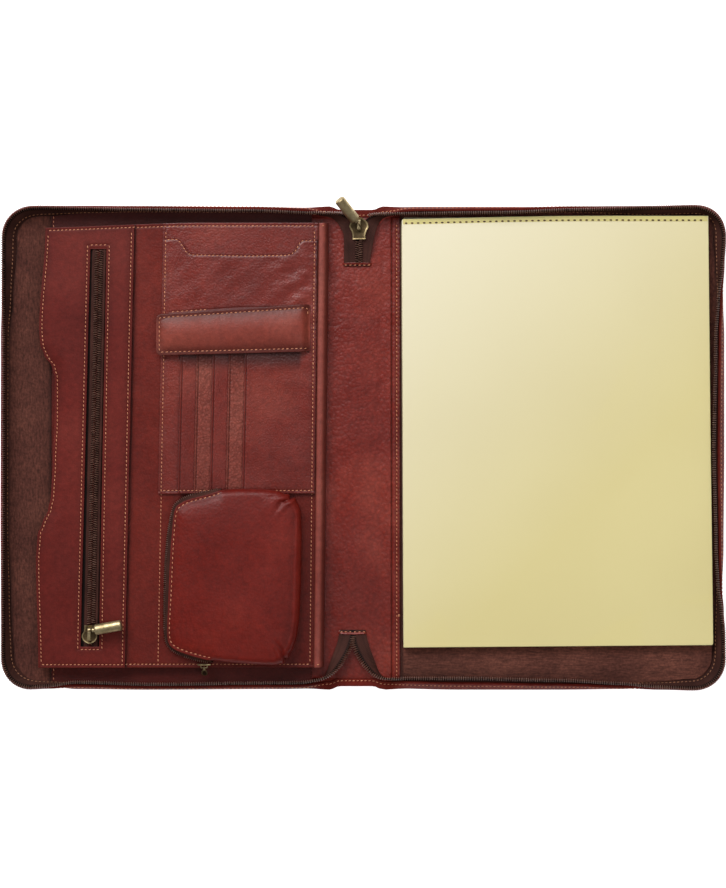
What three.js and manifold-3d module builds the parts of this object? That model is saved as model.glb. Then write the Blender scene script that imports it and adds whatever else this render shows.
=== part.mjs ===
// A zippered leather portfolio lying open on its outer cover, in millimetres, +Z up.
// The spine runs along Y. The organizer is on the left cover and the writing pad on the right one.
// A zip runs round each cover as a standing wall, and the two walls meet at the ends of the spine.
import * as THREE from "three";
import { mergeVertices } from "three/addons/utils/BufferGeometryUtils.js";
import Module from "manifold-3d";

const wasm = await Module();
wasm.setup();
const { lerp, smoothstep, degToRad, clamp } = THREE.MathUtils;

// Driving dimensions
const GAP = 0.3; // between pieces that are sewn or laid on each other
const COVER = { width: 503, height: 337, corner: 22, floor: 2.2, leather: 2, rim: 11, rimFade: 18 };
const SPINE = { left: -23.5, right: 13.5, notch: 2.4, seam: 25.7 };
const LINING = 1.2;
const LEATHER = 1.3;
const ZIP = { tape: 1, coil: 1.7, wallStep: 17, cornerSteps: 6 };
const PANEL = { top: 152.6, bottom: -152.4, z: 9, leather: 1.4 };
const PAD = {
  width: 214, height: 298, left: 26, top: 160.5, turn: 1.6, corner: 2.4, board: 1, paper: 5.2, curl: 1.4,
};

// Levels of the stacked layers
const LINING_Z = COVER.floor + GAP;
const LINING_TOP = LINING_Z + LINING;
const PANEL_TOP = PANEL.z + PANEL.leather;
const BACKING_Z = PANEL_TOP + GAP;
const BACKING_TOP = BACKING_Z + LEATHER;
const POCKET_TAPE_Z = 13;
const POCKET_TAPE_TOP = POCKET_TAPE_Z + 0.6;
const POCKET_FRONT_Z = POCKET_TAPE_TOP + GAP;

// How the zip wall of each cover leans: along is measured on the cover's outline from the head of the spine
// round to its foot, floor is how far in the wall leaves the floor, coil how far in its teeth stand, and
// height the level of the teeth.
const LEFT_WALL = [
  { along: 0, floor: 1, coil: 6, height: 11.5 },
  { along: 56, floor: 0.5, coil: 4.2, height: 14 },
  { along: 140, floor: 0.5, coil: 3.5, height: 14.5 },
  { along: 168, floor: 1.5, coil: 2.8, height: 14.5 },
  { along: 196, floor: 3.5, coil: 1.9, height: 14.5 },
  { along: 224, floor: 6, coil: 1.4, height: 14 },
  { along: 246, floor: 6.5, coil: 1.5, height: 14 },
  { along: 285, floor: 3.8, coil: 2, height: 14.5 },
  { along: 310, floor: 1, coil: 2.4, height: 14.5 },
  { along: 438, floor: 0.6, coil: 2.2, height: 14.5 },
  { along: 494, floor: 2.5, coil: 1.8, height: 14.5 },
  { along: 551, floor: 5.5, coil: 1.2, height: 14 },
  { along: 580, floor: 2.5, coil: 4, height: 14 },
  { along: 597, floor: 0.5, coil: 6.6, height: 14 },
  { along: 650, floor: 0, coil: 5.1, height: 14 },
  { along: 740, floor: 0.5, coil: 6, height: 13.5 },
  { along: 790, floor: 1.5, coil: 6.5, height: 12 },
];
const RIGHT_WALL = [
  { along: 0, floor: 1, coil: 6.5, height: 11.5 },
  { along: 25, floor: 0.3, coil: 6, height: 13.5 },
  { along: 81, floor: 0.3, coil: 5.5, height: 14.5 },
  { along: 134, floor: 0.8, coil: 3.6, height: 14.5 },
  { along: 188, floor: 4, coil: 1.9, height: 14.5 },
  { along: 214, floor: 3, coil: 1.4, height: 14.5 },
  { along: 232, floor: 0.8, coil: 1.2, height: 14.5 },
  { along: 252, floor: 4.5, coil: 1.3, height: 14 },
  { along: 269, floor: 3, coil: 3, height: 14.5 },
  { along: 293, floor: 0.8, coil: 6, height: 14.5 },
  { along: 321, floor: 0, coil: 7.8, height: 14.5 },
  { along: 398, floor: 0, coil: 9, height: 14.5 },
  { along: 467, floor: 0.5, coil: 7.6, height: 14.5 },
  { along: 495, floor: 1.5, coil: 6.2, height: 14.5 },
  { along: 509, floor: 3, coil: 3.8, height: 14.5 },
  { along: 527, floor: 5, coil: 1.8, height: 14 },
  { along: 560, floor: 5.5, coil: 1.2, height: 14 },
  { along: 579, floor: 4, coil: 1.8, height: 14 },
  { along: 603, floor: 2, coil: 3.2, height: 14.5 },
  { along: 628, floor: 0.5, coil: 5.6, height: 14.5 },
  { along: 670, floor: 0, coil: 7.8, height: 14.5 },
  { along: 740, floor: 0, coil: 9.2, height: 14.5 },
  { along: 797, floor: 1, coil: 9, height: 12 },
];

// Where each zip leaves its wall: the free tape crosses the spine, from its sewn end to the wall.
// coil is the teeth's edge of the tape and edge its other edge.
const HEAD_END = {
  left: [
    { coil: [-4.7, 130], edge: [-13.6, 130], coilZ: 4.6, edgeZ: 4.6 },
    { coil: [-4.4, 138], edge: [-13.6, 138], coilZ: 5.4, edgeZ: 5.2 },
    { coil: [-4.2, 144], edge: [-13.6, 143.5], coilZ: 6.5, edgeZ: 6.5 },
    { coil: [-4.4, 151], edge: [-13.6, 148], coilZ: 6.5, edgeZ: 6.5 },
    { coil: [-7.4, 158.6], edge: [-14.8, 152], coilZ: 6.5, edgeZ: 6.3 },
    { coil: [-11.8, 161.2], edge: [-17.6, 156.4], coilZ: 8.4, edgeZ: 5.2 },
    { coil: [-17, 162.4], edge: [-20.5, 160.5], coilZ: 10.4, edgeZ: 4.6 },
  ],
  right: [
    { coil: [-2.3, 130], edge: [4.4, 130], coilZ: 4.6, edgeZ: 4.6 },
    { coil: [-2, 138], edge: [5.8, 138], coilZ: 5.4, edgeZ: 5.2 },
    { coil: [-1.6, 144], edge: [7, 143.5], coilZ: 6.5, edgeZ: 6.5 },
    { coil: [-1.4, 151], edge: [7.6, 148], coilZ: 6.5, edgeZ: 6.5 },
    { coil: [1.6, 158.6], edge: [8.8, 152], coilZ: 6.5, edgeZ: 6.3 },
    { coil: [5.2, 161], edge: [10.6, 156.8], coilZ: 8.4, edgeZ: 5.2 },
    { coil: [9.2, 161.8], edge: [12.4, 160.5], coilZ: 10.4, edgeZ: 4.6 },
  ],
};
const FOOT_END = {
  left: [
    { coil: [-25.4, -159.6], edge: [-26.6, -160.5], coilZ: 11.2, edgeZ: 4.6 },
    { coil: [-19.5, -153.4], edge: [-24.6, -153], coilZ: 9.6, edgeZ: 4.2 },
    { coil: [-14.3, -145.5], edge: [-21.3, -144.5], coilZ: 8, edgeZ: 4.5 },
    { coil: [-10.2, -137.2], edge: [-18.5, -136.8], coilZ: 6.4, edgeZ: 4.6 },
    { coil: [-8.4, -130.6], edge: [-16.8, -130.4], coilZ: 4.8, edgeZ: 4.6 },
  ],
  right: [
    { coil: [11.4, -160], edge: [11.2, -159.4], coilZ: 11.2, edgeZ: 4.6 },
    { coil: [5.6, -154.6], edge: [8.8, -151.4], coilZ: 9.6, edgeZ: 4.2 },
    { coil: [-0.2, -147.6], edge: [5.6, -142.8], coilZ: 8, edgeZ: 4.5 },
    { coil: [-4.4, -139.4], edge: [3.4, -136.4], coilZ: 6.4, edgeZ: 4.6 },
    { coil: [-6.6, -130.6], edge: [1.8, -130.4], coilZ: 4.8, edgeZ: 4.6 },
  ],
};

// The organizer's left edge, with the thumb cut of the document pocket.
const THUMB_CUT = [
  { y: 152.6, x: -220.7 },
  { y: 82, x: -225 },
  { y: 71.5, x: -224.3 },
  { y: 65, x: -221.7 },
  { y: 56, x: -216 },
  { y: 48.5, x: -214.3 },
  { y: 21, x: -214.3 },
  { y: -10, x: -215.6 },
  { y: -33, x: -216.8 },
  { y: -43, x: -218.8 },
  { y: -51.5, x: -222.8 },
  { y: -60.5, x: -226.2 },
  { y: -78, x: -227.2 },
  { y: -152.4, x: -225.6 },
];

// Lines that cross the organizer from head to foot, each leaning a little as the worn leather does.
const ZIP_FRONT_EDGE = { head: -158.6, foot: -165.2 };
const CARD_EDGE = { head: -138.9, foot: -144.7 };
const RIGHT_EDGE = { head: -31, foot: -34.4 };
const WINDOW = { head: -183.2, foot: -189.8, top: 138, bottom: -137.4, headWidth: 10.8, footWidth: 12.6 };
const CARD_FOOT = -32;
const SCOOP = { top: 145.5, depth: 11, foot: 82, run: 8, shoulder: 10.5, farShoulder: 13.7 };
const CARD_STRIPS = {
  count: 4, firstAt: -127.2, pitch: 11.1, overlap: 4.6, head: 80, rise: 1.9, lean: 1.25, front: 50,
};
const FLAP = {
  left: -143.4, right: -36.6, leftTop: 92.2, rightTop: 99.5, leftFoot: 63.9, rightFoot: 66.7,
  z: 15.6, sewnZ: 13.8,
};

// The pouch's rounded outline on the organizer, and its side walls from foot to crown: out is how far the
// leather bulges past the outline at that level.
const POUCH_CORNERS = [
  { x: -133.6, y: -35, radius: 8 },
  { x: -136.8, y: -146.2, radius: 9 },
  { x: -46, y: -149.6, radius: 12 },
  { x: -44.2, y: -35, radius: 11 },
];
const POUCH_SIDES = [
  { level: 0, out: 0 },
  { level: 3, out: 1.4 },
  { level: 8, out: 1.8 },
  { level: 11.4, out: 0.4 },
  { level: 13.2, out: -3.4 },
  { level: 14.2, out: -12 },
  { level: 14.8, out: -26 },
];
const POUCH = { wall: 1.6, roll: 3.4, zipLow: 3.6, zipHigh: 8.6, zipFrom: 0.9, zipTo: 1.36, steps: 40 };

// Sliders and their pulls
const SLIDER = { width: 13.2, length: 15.4, channel: 3, plate: 1.2, slot: 1.9, bar: 1, clearance: 0.35 };
const PULL = { radius: 3.7, eye: 2.8, hole: 1.8, eyeWidth: 1, from: 2.4, length: 23 };
const MAIN_SLIDER = { x: -3.2, y: 152.6, z: 6.5, size: 1 };
const MAIN_PULL = { along: 2.2, yaw: 129.5, lift: 22 };
const POCKET_SLIDER = { x: -189.5, y: -129, z: 13.3, size: 0.82, yaw: 178.6 };
const POCKET_PULL = { along: -2.8, yaw: 10.4, lift: 2.5 };
const POUCH_SLIDER = { x: -110.2, z: 16.6, size: 0.6 };
const POUCH_PULL = { eye: 1.7, hole: 1.05, eyeWidth: 0.8, width: 4.2, thickness: 1.3, length: 8.6, hang: 52 };

// Finishes, with colours read from the photograph
const FINISH = {
  leather: new THREE.MeshStandardMaterial({ color: 0x6e2c26, roughness: 0.45 }),
  outerLeather: new THREE.MeshStandardMaterial({ color: 0x6a2822, roughness: 0.5 }),
  suede: new THREE.MeshStandardMaterial({ color: 0x553730, roughness: 0.95 }),
  tape: new THREE.MeshStandardMaterial({ color: 0x3a241e, roughness: 0.9 }),
  coil: new THREE.MeshStandardMaterial({ color: 0x3b2a24, roughness: 0.4 }),
  brass: new THREE.MeshStandardMaterial({ color: 0x8c7a52, roughness: 0.35, metalness: 1 }),
  paper: new THREE.MeshStandardMaterial({ color: 0xe3d9a4, roughness: 0.6 }),
  board: new THREE.MeshStandardMaterial({ color: 0x9a8d72, roughness: 0.9 }),
};

const portfolio = new THREE.Group();

function add(name, geometry, finish) {
  const mesh = new THREE.Mesh(geometry, FINISH[finish].clone());
  mesh.name = name;
  portfolio.add(mesh);
  return mesh;
}

// Reads a column of a table at a place between two rows, easing from row to row.
function read(table, key, at, column) {
  const rising = table[table.length - 1][key] > table[0][key];
  const next = table.findIndex((row) => (rising ? row[key] >= at : row[key] <= at));
  if (next === -1) return table[table.length - 1][column];
  if (next === 0) return table[0][column];
  const [a, b] = [table[next - 1], table[next]];
  return lerp(a[column], b[column], smoothstep((at - a[key]) / (b[key] - a[key]), 0, 1));
}

// Where a line that crosses the organizer stands at a given height of the page.
const lineAt = (line, y) => lerp(line.head, line.foot, (PANEL.top - y) / (PANEL.top - PANEL.bottom));

// A closed mesh from corner points and triangles, turned so that its faces point out.
function closedMesh(points, triangles) {
  let volume = 0;
  for (const [a, b, c] of triangles) volume += points[a].dot(points[b].clone().cross(points[c]));
  const facing = volume < 0 ? triangles.map(([a, b, c]) => [a, c, b]) : triangles;
  const geometry = new THREE.BufferGeometry().setFromPoints(points);
  geometry.setIndex(facing.flat());
  return geometry;
}

// Joins a row of sections, each a ring of points, into one solid with flat ends.
function loft(sections) {
  const ring = sections[0].length;
  const triangles = [];
  for (let s = 0; s < sections.length - 1; s++)
    for (let i = 0; i < ring; i++) {
      const [a, b] = [s * ring + i, s * ring + ((i + 1) % ring)];
      triangles.push([a, b, b + ring], [a, b + ring, a + ring]);
    }
  const last = (sections.length - 1) * ring;
  for (let i = 1; i < ring - 1; i++) triangles.push([0, i + 1, i], [last, last + i, last + i + 1]);
  return closedMesh(sections.flat(), triangles);
}

// A leather sheet over a grid of rows and columns, with its thickness hanging below, and cells left out.
function sheet(rows, columns, place, thickness, open = () => false) {
  const points = [];
  for (const row of rows) for (const column of columns) points.push(place(row, column));
  const count = points.length;
  for (let i = 0; i < count; i++) points.push(points[i].clone().setZ(points[i].z - thickness));
  const [height, width] = [rows.length - 1, columns.length - 1];
  const filled = (r, c) => r >= 0 && c >= 0 && r < height && c < width && !open(r, c);
  const triangles = [];
  const wall = (a, b) => triangles.push([a, a + count, b + count], [a, b + count, b]);
  for (let r = 0; r < height; r++)
    for (let c = 0; c < width; c++) {
      if (!filled(r, c)) continue;
      const a = r * columns.length + c;
      const [b, d, e] = [a + 1, a + columns.length, a + columns.length + 1];
      triangles.push([a, d, e], [a, e, b]);
      triangles.push([a + count, e + count, d + count], [a + count, b + count, e + count]);
      if (!filled(r - 1, c)) wall(b, a);
      if (!filled(r + 1, c)) wall(d, e);
      if (!filled(r, c - 1)) wall(a, d);
      if (!filled(r, c + 1)) wall(e, b);
    }
  return closedMesh(points, triangles);
}

// A flat plate with the outline of a shape, from one level to another.
function plate(outline, low, high) {
  const shape = Array.isArray(outline) ? new THREE.Shape(outline) : outline;
  const settings = { depth: high - low, bevelEnabled: false, curveSegments: 5 };
  const geometry = new THREE.ExtrudeGeometry(shape, settings);
  return geometry.translate(0, 0, low);
}

function box(low, high) {
  const size = high.map((v, i) => v - low[i]);
  return new THREE.BoxGeometry(...size).translate(...low.map((v, i) => v + size[i] / 2));
}

function solid(geometry) {
  const bare = geometry.clone().deleteAttribute("normal").deleteAttribute("uv");
  const merged = mergeVertices(bare, 1e-4);
  return new wasm.Manifold(
    new wasm.Mesh({
      numProp: 3,
      vertProperties: merged.attributes.position.array,
      triVerts: new Uint32Array(merged.index.array),
    }),
  );
}

function meshOf(made) {
  const mesh = made.getMesh();
  const geometry = new THREE.BufferGeometry();
  geometry.setAttribute("position", new THREE.BufferAttribute(mesh.vertProperties, 3));
  return geometry.setIndex(new THREE.BufferAttribute(mesh.triVerts, 1));
}

// The outline of one cover, from the head of the spine to its foot; side is -1 on the left, 1 on the right.
function coverOutline(side) {
  const [w, h, r] = [COVER.width / 2, COVER.height / 2, COVER.corner];
  const spine = side < 0 ? SPINE.left : SPINE.right;
  const turn = (quarters) => (side < 0 ? quarters : 2 - quarters) * (Math.PI / 2);
  const path = new THREE.Path().moveTo(spine, h);
  path.lineTo(side * (w - r), h);
  path.absarc(side * (w - r), h - r, r, turn(1), turn(2), side > 0);
  path.lineTo(side * w, r - h);
  path.absarc(side * (w - r), r - h, r, turn(2), turn(3), side > 0);
  path.lineTo(spine, -h);
  return path;
}

// Stations along a cover's outline, each with its place, outward direction and row of the wall's table.
function wallStations(side) {
  const path = coverOutline(side);
  const table = side < 0 ? LEFT_WALL : RIGHT_WALL;
  const total = path.getLength();
  const alongs = [];
  let reached = 0;
  for (const curve of path.curves) {
    const length = curve.getLength();
    const steps = curve.isLineCurve ? Math.ceil(length / ZIP.wallStep) : ZIP.cornerSteps;
    for (let i = 0; i < steps; i++) alongs.push(reached + (length * i) / steps);
    reached += length;
  }
  alongs.push(total);
  return alongs.map((along) => {
    const t = clamp(along / total, 0, 1);
    const tangent = path.getTangent(t);
    const row = { floor: 0, coil: 0, height: 0 };
    for (const column of Object.keys(row)) row[column] = read(table, "along", along, column);
    const toEnd = Math.min(along, total - along);
    return {
      place: path.getPoint(t),
      outward: new THREE.Vector2(tangent.y, -tangent.x).multiplyScalar(-side),
      rim: lerp(COVER.floor, COVER.rim, smoothstep(toEnd, 0, COVER.rimFade)),
      ...row,
    };
  });
}

const inFrom = (station, inset, z) => {
  const p = station.place.clone().addScaledVector(station.outward, -inset);
  return new THREE.Vector3(p.x, p.y, z);
};

// How far in the outer face of the wall stands at a level. The tape stands behind the leather of the rim.
const TAPE_BEHIND = COVER.leather + GAP + ZIP.tape / 2;
const wallInset = (station, z) => {
  const climb = clamp((z - LINING_Z) / (station.height - LINING_Z), 0, 1);
  return lerp(station.floor, station.coil - TAPE_BEHIND, climb);
};

// The leather cover: one piece over both covers and the spine, turned up round the covers as a low rim.
const LEFT_STATIONS = wallStations(-1);
const RIGHT_STATIONS = wallStations(1);
function outerCover() {
  const spineEdge = (x, end) => ({
    place: new THREE.Vector2(x, end * (COVER.height / 2 - SPINE.notch)),
    outward: new THREE.Vector2(0, end),
    rim: COVER.floor,
    floor: 0,
    coil: TAPE_BEHIND,
    height: COVER.rim,
  });
  const spineXs = [0.2, 0.5, 0.8].map((t) => lerp(SPINE.left, SPINE.right, t));
  const loop = [
    ...LEFT_STATIONS,
    ...spineXs.map((x) => spineEdge(x, -1)),
    ...[...RIGHT_STATIONS].reverse(),
    ...[...spineXs].reverse().map((x) => spineEdge(x, 1)),
  ];
  const shoulder = (s) => Math.min(3, s.rim - 0.6);
  const rings = [
    (s) => inFrom(s, s.floor + 3, 0),
    (s) => inFrom(s, s.floor + 0.7, 0.7),
    (s) => inFrom(s, wallInset(s, shoulder(s)), shoulder(s)),
    (s) => inFrom(s, wallInset(s, s.rim), s.rim),
    (s) => inFrom(s, wallInset(s, s.rim) + COVER.leather - GAP, s.rim),
    (s) => inFrom(s, s.floor + COVER.leather + 0.4, COVER.floor),
  ].map((ring) => loop.map(ring));
  const count = loop.length;
  const triangles = [];
  for (let k = 0; k < rings.length - 1; k++)
    for (let i = 0; i < count; i++) {
      const [a, b] = [k * count + i, k * count + ((i + 1) % count)];
      triangles.push([a, b, a + count], [b, b + count, a + count]);
    }
  const flat = (ring) => ring.map((p) => new THREE.Vector2(p.x, p.y));
  const under = THREE.ShapeUtils.triangulateShape(flat(rings[0]), []);
  const inside = THREE.ShapeUtils.triangulateShape(flat(rings[rings.length - 1]), []);
  const last = (rings.length - 1) * count;
  triangles.push(...under.map(([a, b, c]) => [a, c, b]), ...inside.map((t) => t.map((i) => i + last)));
  return closedMesh(rings.flat(), triangles);
}

// The route of one zip tape: the two edges of the tape at each station, from its head end round to its foot.
function tapeRoute(side, stations) {
  const half = side < 0 ? "left" : "right";
  const free = (row) => ({
    coil: new THREE.Vector3(...row.coil, row.coilZ),
    edge: new THREE.Vector3(...row.edge, row.edgeZ),
  });
  const wall = stations.slice(1, -1).map((s) => ({
    coil: inFrom(s, wallInset(s, s.height - ZIP.coil) + TAPE_BEHIND, s.height - ZIP.coil),
    edge: inFrom(s, wallInset(s, LINING_Z) + TAPE_BEHIND + 0.4, LINING_Z + 0.1),
  }));
  return [...HEAD_END[half].map(free), ...wall, ...FOOT_END[half].map(free)];
}

// The thin direction of the tape at a station of its route.
function tapeFace(route, i) {
  const before = route[Math.max(i - 1, 0)];
  const after = route[Math.min(i + 1, route.length - 1)];
  const middle = (r) => r.coil.clone().add(r.edge).multiplyScalar(0.5);
  const onward = middle(after).sub(middle(before));
  const across = route[i].coil.clone().sub(route[i].edge);
  return onward.cross(across).normalize();
}

function zipTape(route) {
  return loft(
    route.map((r, i) => {
      const half = tapeFace(route, i).multiplyScalar(ZIP.tape / 2);
      const corner = (p, sign) => p.clone().addScaledVector(half, sign);
      return [corner(r.edge, -1), corner(r.edge, 1), corner(r.coil, 1), corner(r.coil, -1)];
    }),
  );
}

// The teeth are one bead along the tape's edge, standing just off it.
function zipCoil(route, from, to) {
  const sides = 8;
  const sections = [];
  for (let i = from; i < to; i++) {
    const across = route[i].coil.clone().sub(route[i].edge).normalize();
    const face = tapeFace(route, i);
    const centre = route[i].coil.clone().addScaledVector(across, ZIP.coil + GAP);
    const at = (k) => ((k + 0.5) * 2 * Math.PI) / sides;
    const corner = (k) => [Math.cos(at(k)) * ZIP.coil, Math.sin(at(k)) * ZIP.coil];
    sections.push(
      Array.from({ length: sides }, (_, k) => {
        const [a, b] = corner(k);
        return centre.clone().addScaledVector(across, a).addScaledVector(face, b);
      }),
    );
  }
  return loft(sections);
}

// Linings: one sheet fills each cover inside its wall, and is cut where one material meets the next.
function liningOf(stations, low, high) {
  const inset = (s) => Math.max(wallInset(s, low), wallInset(s, high)) + TAPE_BEHIND + ZIP.tape + 1;
  const edge = stations.map((s) => inFrom(s, inset(s), 0));
  return solid(plate(edge.map((p) => new THREE.Vector2(p.x, p.y)), low, high));
}

const band = (fromX, toX) => solid(box([fromX, -200, 0], [toX, 200, 20]));

function organizerOutline(inset) {
  const [foot, head] = [PANEL.bottom + inset, PANEL.top - inset];
  const left = THUMB_CUT.map((row) => new THREE.Vector2(row.x + inset, clamp(row.y, foot, head)));
  const right = [foot, head].map((y) => new THREE.Vector2(lineAt(RIGHT_EDGE, y), y));
  return [...left, ...right];
}

// The hidden gusset that carries the organizer round its head, spine side and foot; the thumb side is open.
function gusset() {
  const [head, foot, side, far, wall] = [147, -147, -38, -206, 1.5];
  const outer = [[far, head], [side, head], [side, foot], [far, foot]];
  const [low, high] = [foot + wall, head - wall];
  const inner = [[far, low], [side - wall, low], [side - wall, high], [far, high]];
  const outline = [...outer, ...inner].map(([x, y]) => new THREE.Vector2(x, y));
  return plate(outline, LINING_TOP + GAP, PANEL.z - GAP);
}

// The organizer's spine edge is a strip of leather folded over like an inverted channel.
function edgeRoll() {
  const [width, height, wall, steps] = [6.4, 8, 1.4, 8];
  const arch = (w, h) =>
    Array.from({ length: steps + 1 }, (_, i) => {
      const turn = (Math.PI * i) / steps;
      return [(-Math.cos(turn) * w) / 2, Math.sin(turn) ** 0.6 * h];
    });
  const profile = [...arch(width, height), ...arch(width - 2 * wall, height - wall).reverse()];
  const endAt = (y) => {
    const middle = lineAt(RIGHT_EDGE, y) + GAP + width / 2;
    return profile.map(([x, z]) => new THREE.Vector3(middle + x, y, LINING_TOP + GAP + z));
  };
  const ring = profile.length;
  const triangles = [];
  for (let i = 0; i < ring; i++) {
    const j = (i + 1) % ring;
    triangles.push([i, j, j + ring], [i, j + ring, i + ring]);
  }
  for (let i = 0; i < steps; i++) {
    const [a, b, c, d] = [i, i + 1, ring - 2 - i, ring - 1 - i];
    triangles.push([a, c, b], [a, d, c], [a + ring, b + ring, c + ring], [a + ring, c + ring, d + ring]);
  }
  return closedMesh([...endAt(PANEL.bottom), ...endAt(PANEL.top)], triangles);
}

// The zip pocket's front swells above its sewn edges, and a long window shows its zip.
const windowAt = (y) => {
  const t = (PANEL.top - y) / (PANEL.top - PANEL.bottom);
  const half = lerp(WINDOW.headWidth, WINDOW.footWidth, t) / 2;
  return [lineAt(WINDOW, y) - half, lineAt(WINDOW, y) + half];
};
function zipPocketFront() {
  const inset = 0.3;
  const sewn = 2.4;
  const swell = 8.5;
  const rows = [
    PANEL.top - inset, PANEL.top - sewn, PANEL.top - swell, WINDOW.top, 110,
    82, 71.5, 65, 56, 48.5, 21, -10, -33, -43, -51.5, -60.5, -78, -110,
    WINDOW.bottom, PANEL.bottom + swell, PANEL.bottom + sewn, PANEL.bottom + inset,
  ];
  const columns = [
    "edge", "sewn", "swell", "near", "windowLeft", "windowRight", "farNear", "farSwell", "farSewn", "farEdge",
  ];
  const risen = { edge: 0, sewn: 0.15, farSewn: 0.15, farEdge: 0 };
  const place = (y, column) => {
    const left = read(THUMB_CUT, "y", y, "x") + inset;
    const right = lineAt(ZIP_FRONT_EDGE, y);
    const [windowLeft, windowRight] = windowAt(y);
    const xs = {
      edge: left, sewn: left + sewn, swell: left + swell, near: (left + swell + windowLeft) / 2,
      windowLeft, windowRight, farNear: (right - swell + windowRight) / 2, farSwell: right - swell,
      farSewn: right - sewn, farEdge: right,
    };
    const endRise = smoothstep(Math.min(PANEL.top - y, y - PANEL.bottom), inset, swell);
    const z = lerp(BACKING_Z, POCKET_FRONT_Z, (risen[column] ?? 1) * endRise) + LEATHER;
    return new THREE.Vector3(xs[column], y, z);
  };
  const [first, last] = [rows.indexOf(WINDOW.top), rows.indexOf(WINDOW.bottom)];
  const open = (r, c) => c === columns.indexOf("windowLeft") && r >= first && r < last;
  return sheet(rows, columns, place, LEATHER, open);
}

// One strip beside the window's line: it runs beside the zip, between two distances from its centre line.
function alongWindow(near, far, top, bottom, low, high) {
  const at = (offset, y) => new THREE.Vector2(lineAt(WINDOW, y) + offset, y);
  return plate([at(near, top), at(near, bottom), at(far, bottom), at(far, top)], low, high);
}

// The upper pocket's front has a scooped mouth.
function scoopPocket() {
  const { top, depth, foot, run, shoulder, farShoulder } = SCOOP;
  const left = lineAt(CARD_EDGE, top) + 0.6;
  const right = lineAt(RIGHT_EDGE, top) - 0.6;
  const shape = new THREE.Shape();
  shape.moveTo(lineAt(CARD_EDGE, foot) + 0.6, foot);
  shape.lineTo(lineAt(RIGHT_EDGE, foot) - 0.6, foot);
  shape.lineTo(right, top - 0.6);
  const low = top - depth;
  const farAt = right - farShoulder;
  const nearAt = left + shoulder;
  shape.lineTo(farAt, top - 0.6);
  shape.bezierCurveTo(farAt - run / 3, top - depth * 0.7, farAt - run * 0.5, low, farAt - run * 1.3, low);
  shape.lineTo(nearAt + run * 1.3, low);
  shape.bezierCurveTo(nearAt + run * 0.5, low, nearAt + run / 2, top - 0.5, nearAt, top);
  shape.lineTo(left, top);
  return plate(shape, BACKING_TOP + GAP, BACKING_TOP + GAP + LEATHER);
}

// A card slot's leather lies like a roof tile: its mouth rests on the strip before it, its far side dips.
function cardLayer(index) {
  const { count, firstAt, pitch, overlap, head, rise, lean, front } = CARD_STRIPS;
  const width = index < count ? pitch + overlap : front;
  const [thick, low] = [1, BACKING_TOP + GAP];
  const profile = [[0, low + rise], [width, low], [width, low + thick], [0, low + rise + thick]];
  const endAt = (y) => {
    const mouth = firstAt + index * pitch - Math.tan(degToRad(lean)) * (44 - y);
    return profile.map(([x, z]) => new THREE.Vector3(Math.min(mouth + x, lineAt(RIGHT_EDGE, y) - 1), y, z));
  };
  return loft([endAt(CARD_FOOT), endAt(head)]);
}

// The flap is a padded band: crowned, with its free edges turned down and rounded corners.
function flap() {
  const across = [0, 0.03, 0.12, 0.3, 0.5, 0.7, 0.88, 0.96, 1];
  const down = [0, 0.1, 0.3, 0.5, 0.7, 0.9, 1];
  const thickness = 2.2;
  const place = (v, u) => {
    const round = 0.9 * (u < 0.02 || u > 0.98) * (v < 0.05 || v > 0.95);
    const top = lerp(FLAP.leftTop, FLAP.rightTop, u) - 2 * round;
    const foot = lerp(FLAP.leftFoot, FLAP.rightFoot, u) + 2 * round;
    const fade = Math.min(1, 6 * u + 0.5, 9 * (1 - u) + 0.1);
    const crown = Math.sin(Math.PI * clamp(v, 0.02, 0.98)) ** 0.7 * fade;
    const x = lerp(FLAP.left, FLAP.right, u);
    const low = lerp(FLAP.z, FLAP.sewnZ, smoothstep(u, 0.9, 1));
    return new THREE.Vector3(x, lerp(top, foot, v), low + thickness + 1.8 * crown);
  };
  return sheet(down, across, place, thickness);
}

// The pouch: points round its rounded outline, pushed out and lifted to a level.
function pouchOutline() {
  const shape = new THREE.Path();
  const corners = POUCH_CORNERS.map((c) => ({ at: new THREE.Vector2(c.x, c.y), radius: c.radius }));
  corners.forEach((corner, i) => {
    const before = corners[(i + 3) % 4].at.clone().sub(corner.at).normalize();
    const after = corners[(i + 1) % 4].at.clone().sub(corner.at).normalize();
    const start = corner.at.clone().addScaledVector(before, corner.radius);
    const end = corner.at.clone().addScaledVector(after, corner.radius);
    if (i === 0) shape.moveTo(start.x, start.y);
    else shape.lineTo(start.x, start.y);
    shape.quadraticCurveTo(corner.at.x, corner.at.y, end.x, end.y);
  });
  shape.closePath();
  return shape;
}
const POUCH_PATH = pouchOutline();
function pouchPoint(turn, out, level) {
  const t = ((turn % 1) + 1) % 1;
  const p = POUCH_PATH.getPoint(t);
  const tangent = POUCH_PATH.getTangent(t);
  return new THREE.Vector3(p.x + tangent.y * out, p.y - tangent.x * out, BACKING_Z + level);
}
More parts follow.
